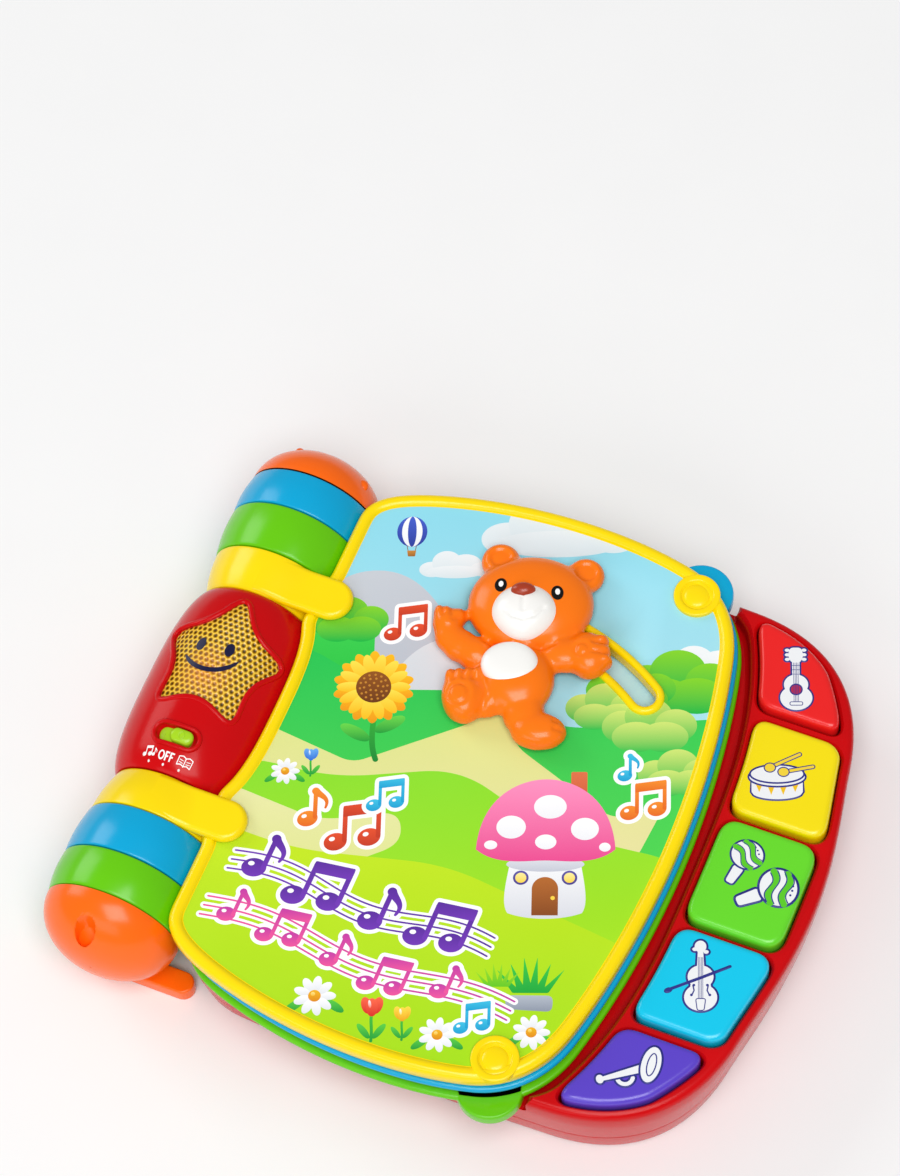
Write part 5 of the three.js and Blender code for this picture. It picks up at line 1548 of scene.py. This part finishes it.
                sheet.add(stroke(path, 0.7), low, high)
            for mark, x, lift in zip(marks, places, lifts):
                sheet.stamp(mark, x, y + lift - 2, size, 0)
        red, orange, blue = (0xE8502A, 0xC63A20), (0xF9922A, 0xE86A1E), (0x3EC4E8, 0x16A0D4)
        for motif, x, y, size in (
            (two_notes(*red), 58.2, 49.5, 1.1),
            (note(*orange), 55.5, -37.0, 1.25),
            (two_notes(*red), 73.0, -36.5, 1.4),
            (two_notes(*blue), 79.0, -19.5, 0.95),
            (note(*blue), 158.0, 21.0, 0.9),
            (two_notes(*orange), 168.5, 12.0, 1.15),
            (two_notes(*blue), 142.5, -90.0, 0.9),
        ):
            sheet.stamp(motif, x, y, size, border=1.5)


# Bear


BEAR = (100.2, 72.4)  # the middle of its head


def bear_place(u, v):
    """Turns the bear's own axes onto the cover."""
    c, s = math.cos(UPRIGHT), math.sin(UPRIGHT)
    return BEAR[0] + u * c - v * s, BEAR[1] + u * s + v * c


def pebble(u, v, rise, radii, turn=0.0, power=2.3, chin=0.0, steps=30):
    """A lump whose section is |across|^p + |up|^p = 1; `chin` narrows it towards its foot."""
    a = np.linspace(0.03, np.pi - 0.03, steps)[:, None]
    b = np.linspace(0, 2 * np.pi, 2 * steps, endpoint=False)[None, :]
    out, up = np.abs(np.sin(a)) ** (2 / power), np.sign(np.cos(a)) * np.abs(np.cos(a)) ** (2 / power)
    x, y, z = out * np.cos(b), out * np.sin(b), up + 0 * b
    x = x * (1 - chin * np.clip(-y, 0, 1) ** 2)
    c, s = math.cos(math.radians(turn)), math.sin(math.radians(turn))
    x, y, z = x * radii[0], y * radii[1], z * radii[2] + BEAR_Z + rise
    px, py = bear_place(u + x * c - y * s, v + x * s + y * c)
    grid = np.stack([px, py, np.clip(z, BEAR_Z, None)], axis=-1)
    return grid.reshape(-1, 3), ring_faces(steps, 2 * steps)


def melted(name, skins, voxel, rounds):
    """Skins fused on a voxel grid and relaxed: each corner moves `rounds` times to its neighbours' mean."""
    points, faces = joined(skins)
    mesh = bpy.data.meshes.new(name + "_lumps")
    mesh.from_pydata((points * MM).tolist(), [], faces)
    lump = bpy.data.objects.new(name + "_lumps", mesh)
    bpy.context.scene.collection.objects.link(lump)
    step = lump.modifiers.new("fuse", "REMESH")
    step.mode = "VOXEL"
    step.voxel_size = voxel * MM
    bpy.context.view_layer.update()
    made = bpy.data.meshes.new_from_object(lump.evaluated_get(bpy.context.evaluated_depsgraph_get()))
    bpy.data.objects.remove(lump)
    work = bmesh.new()
    work.from_mesh(made)
    for _ in range(rounds):
        bmesh.ops.smooth_vert(work, verts=work.verts, factor=0.5, use_axis_x=True, use_axis_y=True, use_axis_z=True)
    bmesh.ops.recalc_face_normals(work, faces=work.faces)
    work.to_mesh(made)
    work.free()
    return made


def pressed(mesh, press):
    """Lowers each corner of the mesh by press(u, v) where its surface faces up."""
    places = np.empty(len(mesh.vertices) * 3)
    mesh.vertices.foreach_get("co", places)
    places = places.reshape(-1, 3) / MM
    normals = np.empty(len(mesh.vertices) * 3)
    mesh.vertices.foreach_get("normal", normals)
    x, y = places[:, 0] - BEAR[0], places[:, 1] - BEAR[1]
    c, s = math.cos(UPRIGHT), math.sin(UPRIGHT)
    facing = eased(normals.reshape(-1, 3)[:, 2], 0.1, 0.5)
    places[:, 2] = (places[:, 2] - press(x * c + y * s, y * c - x * s) * facing).clip(BEAR_Z)
    mesh.vertices.foreach_set("co", (places * MM).ravel())
    mesh.update()


def groove(u, v, path, width):
    """exp(-(d / width)^2) of the distance d from an open path."""
    path = np.array(path, float)
    nearest = np.full(u.shape, 1e9)
    for a, b in zip(path, path[1:]):
        run = b - a
        t = np.clip(((u - a[0]) * run[0] + (v - a[1]) * run[1]) / (run @ run), 0, 1)
        nearest = np.minimum(nearest, np.hypot(u - a[0] - t * run[0], v - a[1] - t * run[1]))
    return np.exp(-((nearest / width) ** 2))


class SOUNDBOOK_OT_bear(bpy.types.Operator):
    """Moulds the sliding bear: body, muzzle, belly, nose and eyes"""

    bl_idname = "sound_book.bear"
    bl_label = "Bear"

    def execute(self, context):
        """Lumps are melted into one body and its folds, pads and fingers are pressed in."""
        voxel = mm("bear_voxel") * 1
        lumps = [
            pebble(0, 0, 1, (23.8, 19.9, 10.9), power=2.5),
            pebble(-11.6, 19.0, 0.5, (7.6, 7.6, 5.6), power=2.6),
            pebble(20.4, 12.6, 0.5, (7.4, 7.4, 5.6), power=2.6),
            pebble(-5.1, -31.5, 0.5, (14.6, 15.2, 10.0), power=2.5),
            pebble(-31.2, -7.6, 1, (5.6, 6.4, 7.8), 8, 2.5),
            pebble(-26.6, -5.6, 1, (2.6, 3.6, 6.8), -6, 2.4),
            pebble(-30.0, -13.0, 0.5, (6.0, 6.6, 7.0), 10, 2.4),
            pebble(-26.0, -17.0, 0.5, (6.8, 6.6, 7.0), 0, 2.4),
            pebble(-20.6, -20.4, 0.5, (7.4, 6.8, 7.2), -30, 2.4),
            pebble(13.0, -21.0, 0.5, (9.5, 7.4, 7.0), 0, 2.4),
            pebble(21.6, -21.6, 1, (8.0, 9.6, 7.8), 12, 2.6),
            pebble(-16.5, -39.0, 0.5, (8.5, 8.0, 7.0), 20, 2.4),
            pebble(-24.6, -38.8, 1, (8.0, 10.8, 8.6), 6, 2.9),
            pebble(-2.0, -45.0, 0.5, (8.0, 9.5, 7.4), 0, 2.4),
            pebble(3.6, -53.0, 0.5, (10.6, 7.4, 7.6), -4, 2.6),
        ]
        toes = enumerate((-29.2, -25.8, -22.4, -19.4))
        lumps += [pebble(u, -31.4 + 0.2 * i, 1, (2.5, 3.2, 8.4), 0, 2.4) for i, u in toes]
        lumps += [pebble(u, -4.0 - 0.5 * i, 1, (2.4, 3.0, 7.8), 0, 2.4) for i, u in enumerate((-34.0, -31.0))]
        lumps += [pebble(27.0 + 0.6 * i, v, 1, (2.8, 2.3, 7.0), 0, 2.4) for i, v in enumerate((-16.2, -20.4, -24.6))]
        body = melted("bear", lumps, voxel, 7)
        pressed(body, self.folds)
        tie("bear_body_moulding", body, finish("bear"), "bear", ["bear_body"], 60)
        muzzle = melted("muzzle", [pebble(-1.9, -6.0, 4.4, (13.4, 11.9, 10.8), 0, 2.5, 0.16)], voxel, 2)
        pressed(muzzle, self.mouth)
        tie("bear_muzzle_moulding", muzzle, finish("bear_white"), "bear", ["bear_muzzle"], 60)
        belly = [pebble(-7.2, -27.7, 6.8, (10.8, 9.0, 4.5), 0, 3.2)]
        put("bear_belly_patch", belly, finish("bear_white"), "bear", ["bear_belly"], 60)
        nose = [pebble(-2.4, 0.2, 13.6, (4.6, 3.0, 3.0), 0, 2.2, 0.12)]
        put("bear_nose_moulding", nose, finish("bear_nose", roughness=0.2), "bear", ["bear_nose"], 60)
        self.eyes(body)
        return {"FINISHED"}

    def folds(self, u, v):
        """Ear hollows, pads, finger and toe grooves, and the fold under the head."""
        press = 1.5 * (1 - eased(np.hypot(u + 11.5, v - 19.2), 3.0, 4.9))
        press += 1.5 * (1 - eased(np.hypot(u - 20.8, v - 12.7), 2.9, 4.8))
        for x, y, radius in ((-26.0, -40.2, 3.9), (19.4, -21.4, 2.6)):
            press += 0.75 * np.exp(-(((np.hypot(u - x, v - y) - radius) / 0.65) ** 2))
        for x in (-27.8, -24.2, -20.8):
            press += 1.0 * groove(u, v, [(x, -34.0), (x - 0.1, -28.0)], 0.75)
        for x in (-32.5, -29.4):
            press += 0.9 * groove(u, v, [(x, -6.5), (x - 0.2, -1.0)], 0.7)
        for y in (-18.3, -22.5):
            press += 0.9 * groove(u, v, [(23.6, y), (30.0, y)], 0.75)
        for y in (-50.8, -54.0):
            press += 0.9 * groove(u, v, [(9.6, y), (14.5, y - 0.4)], 0.75)
        press += 0.9 * groove(u, v, [(-17, -16.5), (-9, -19.6), (0, -20.3), (9, -18.6)], 1.0)
        press += 0.8 * groove(u, v, [(-17.2, -31.0), (-15.6, -39.0), (-17.5, -46.5)], 0.9)
        press += 0.6 * groove(u, v, [(-29.0, -8.4), (-25.4, -7.0)], 0.8)
        return press

    def mouth(self, u, v):
        """A line down from the nose and a smile with a dimple at either end."""
        press = 0.7 * groove(u, v, [(-2.4, -3.0), (-2.4, -8.6)], 0.6)
        press += 0.9 * groove(u, v, [(-8.8, -8.0), (-6.4, -10.6), (-2.4, -11.6), (2.2, -10.6), (5.4, -7.2)], 0.7)
        return press + 0.5 * groove(u, v, [(-2.4, -12.4), (-2.4, -14.0)], 1.3)

    def eyes(self, body):
        """Black ovals with a white gleam, laid on the head's surface."""
        tree = BVHTree.FromPolygons([v.co / MM for v in body.vertices], [list(p.vertices) for p in body.polygons])

        def laid(grid, low, high):
            x, y = bear_place(*np.moveaxis(grid, -1, 0))
            hits = [tree.ray_cast(Vector((a, b, 90)), Vector((0, 0, -1)))[0].z for a, b in zip(x.ravel(), y.ravel())]
            z = np.array(hits).reshape(x.shape)
            return wall_between(np.stack([x, y, z + high], -1), np.stack([x, y, z + low], -1))

        eyes = ((-11.0, 4.0), (10.2, 0.4))
        black = plain("eye_black", 0x0A0A0C, roughness=0.15)
        put("bear_eyes", [laid(oval(u, v, 2.3, 3.0), -0.2, 0.14) for u, v in eyes], black, "bear")
        gleam = [laid(oval(u + 0.1, v + 0.4, 0.9, 1.3), 0, 0.2) for u, v in eyes]
        put("bear_eye_gleams", gleam, plain("eye_white", 0xFFFFFF, roughness=0.2), "bear")


class SOUNDBOOK_OT_inside(bpy.types.Operator):
    """Gives the pieces inside the base and the spine their finishes"""

    bl_idname = "sound_book.inside"
    bl_label = "Inside"

    def execute(self, context):
        """Board, pads, lamp, cells, speaker, axles, screws and the bear's carriage."""
        steel = plain("steel", 0xB8BCC2, roughness=0.3, metallic=1.0)
        looks = {
            "key_board": plain("board", 0x1F7A3C, roughness=0.5),
            "lamp_board": plain("board", 0x1F7A3C, roughness=0.5),
            "key_pad": plain("rubber", 0x9AA0A6, roughness=0.75),
            "lamp": plain("lamp_clear", 0xFFC040, roughness=0.15),
            "speaker": plain("speaker_black", 0x1C1A1A, roughness=0.5),
            "hinge_axle_upper": steel,
            "hinge_axle_lower": steel,
            "bear_carriage": finish("carriage", roughness=0.4),
        }
        looks.update({f"battery_{i}": plain("battery_jacket", 0x3A4A5A, roughness=0.3) for i in (1, 2, 3)})
        looks.update({f"base_screw_{i}": steel for i in (1, 2, 3, 4)})
        for name, material in looks.items():
            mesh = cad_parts[name].data
            mesh.materials.clear()
            mesh.materials.append(material)
        return {"FINISHED"}


class SOUNDBOOK_OT_stage(bpy.types.Operator):
    """Lays the pale floor, hangs the soft lights and sets the camera"""

    bl_idname = "sound_book.stage"
    bl_label = "Stage"

    def execute(self, context):
        """Floor, surroundings, three soft boxes and the camera."""
        floor = bpy.data.meshes.new("floor")
        floor.from_pydata([(-4, -4, 0), (4, -4, 0), (4, 4, 0), (-4, 4, 0)], [], [(0, 1, 2, 3)])
        floor.materials.append(plastic("floor_card", (0.89, 0.89, 0.89), 0.9, 0.005, 0.0))
        plane = bpy.data.objects.new("floor", floor)
        plane.location.z = -0.0002
        bpy.context.scene.collection.objects.link(plane)
        world = bpy.data.worlds.new("studio")
        world.use_nodes = True
        world.node_tree.nodes["Background"].inputs["Color"].default_value = (1, 1, 1, 1)
        world.node_tree.nodes["Background"].inputs["Strength"].default_value = 0.28
        bpy.context.scene.world = world
        self.light("front_box", (-0.2, -3.3, 2.0), (3.3, 1.5), 26)
        self.light("left_box", (-3.1, 0.7, 1.8), (1.8, 1.8), 34)
        self.light("camera_box", (1.1, -1.6, 4.2), (2.8, 2.8), 156)
        self.camera()
        bpy.context.scene.view_settings.view_transform = "Standard"
        return {"FINISHED"}

    def light(self, name, place, size, power):
        """A rectangular soft box that faces the middle of the book."""
        lamp = bpy.data.lights.new(name, "AREA")
        lamp.shape = "RECTANGLE"
        lamp.size, lamp.size_y = size
        lamp.energy = power
        thing = bpy.data.objects.new(name, lamp)
        thing.location = place
        thing.rotation_euler = (Vector((0.1, 0, 0.03)) - Vector(place)).to_track_quat("-Z", "Y").to_euler()
        bpy.context.scene.collection.objects.link(thing)

    def camera(self):
        """The photograph's viewpoint, with the picture's foot raised by a lens shift."""
        turn, roll = math.radians(28.88), math.radians(-7.11)
        back = Vector((0.213453, -0.387022, 0.897024)).normalized()
        level_right = Vector((math.cos(turn), math.sin(turn), 0))
        level_up = back.cross(level_right)
        right = math.cos(roll) * level_right + math.sin(roll) * level_up
        up = -math.sin(roll) * level_right + math.cos(roll) * level_up
        camera = bpy.data.cameras.new("photo")
        camera.sensor_fit = "VERTICAL"
        camera.sensor_height = 36
        camera.lens = 118.22
        camera.shift_y = 0.1777
        camera.clip_end = 20
        thing = bpy.data.objects.new("photo", camera)
        place = Matrix((right, up, back)).transposed().to_4x4()
        place.translation = (0.404285, -0.559614, 1.322040)
        thing.matrix_world = place
        bpy.context.scene.collection.objects.link(thing)
        bpy.context.scene.camera = thing


class SOUNDBOOK_PT_panel(bpy.types.Panel):
    """Buttons and settings in the sidebar."""

    bl_label = "Sound book"
    bl_idname = "SOUNDBOOK_PT_panel"
    bl_space_type = "VIEW_3D"
    bl_region_type = "UI"
    bl_category = "Sound book"

    def draw(self, context):
        """One button for each operator, then the settings."""
        for operator in OPERATORS:
            self.layout.operator(operator.bl_idname)
        for group in (context.scene.sound_book_sizes, context.scene.sound_book_colours):
            box = self.layout.box()
            for name in type(group).__annotations__:
                box.prop(group, name)


OPERATORS = (
    SOUNDBOOK_OT_spine,
    SOUNDBOOK_OT_base,
    SOUNDBOOK_OT_keys,
    SOUNDBOOK_OT_pages,
    SOUNDBOOK_OT_cover,
    SOUNDBOOK_OT_bear,
    SOUNDBOOK_OT_inside,
    SOUNDBOOK_OT_stage,
)
CLASSES = (SoundBookSizes, SoundBookColours, *OPERATORS, SOUNDBOOK_PT_panel)


def register():
    """Registers the classes and hangs the settings on the scene."""
    for made in CLASSES:
        bpy.utils.register_class(made)
    bpy.types.Scene.sound_book_sizes = bpy.props.PointerProperty(type=SoundBookSizes)
    bpy.types.Scene.sound_book_colours = bpy.props.PointerProperty(type=SoundBookColours)


def unregister():
    """Takes the settings and classes back out."""
    del bpy.types.Scene.sound_book_colours
    del bpy.types.Scene.sound_book_sizes
    for made in reversed(CLASSES):
        bpy.utils.unregister_class(made)


def main():
    """Builds everything in order."""
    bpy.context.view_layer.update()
    register()
    for operator in OPERATORS:
        group, name = operator.bl_idname.split(".")
        done = getattr(getattr(bpy.ops, group), name)()
        if done != {"FINISHED"}:
            raise RuntimeError(f"{operator.bl_label} did not finish")


if __name__ == "__main__":
    main()
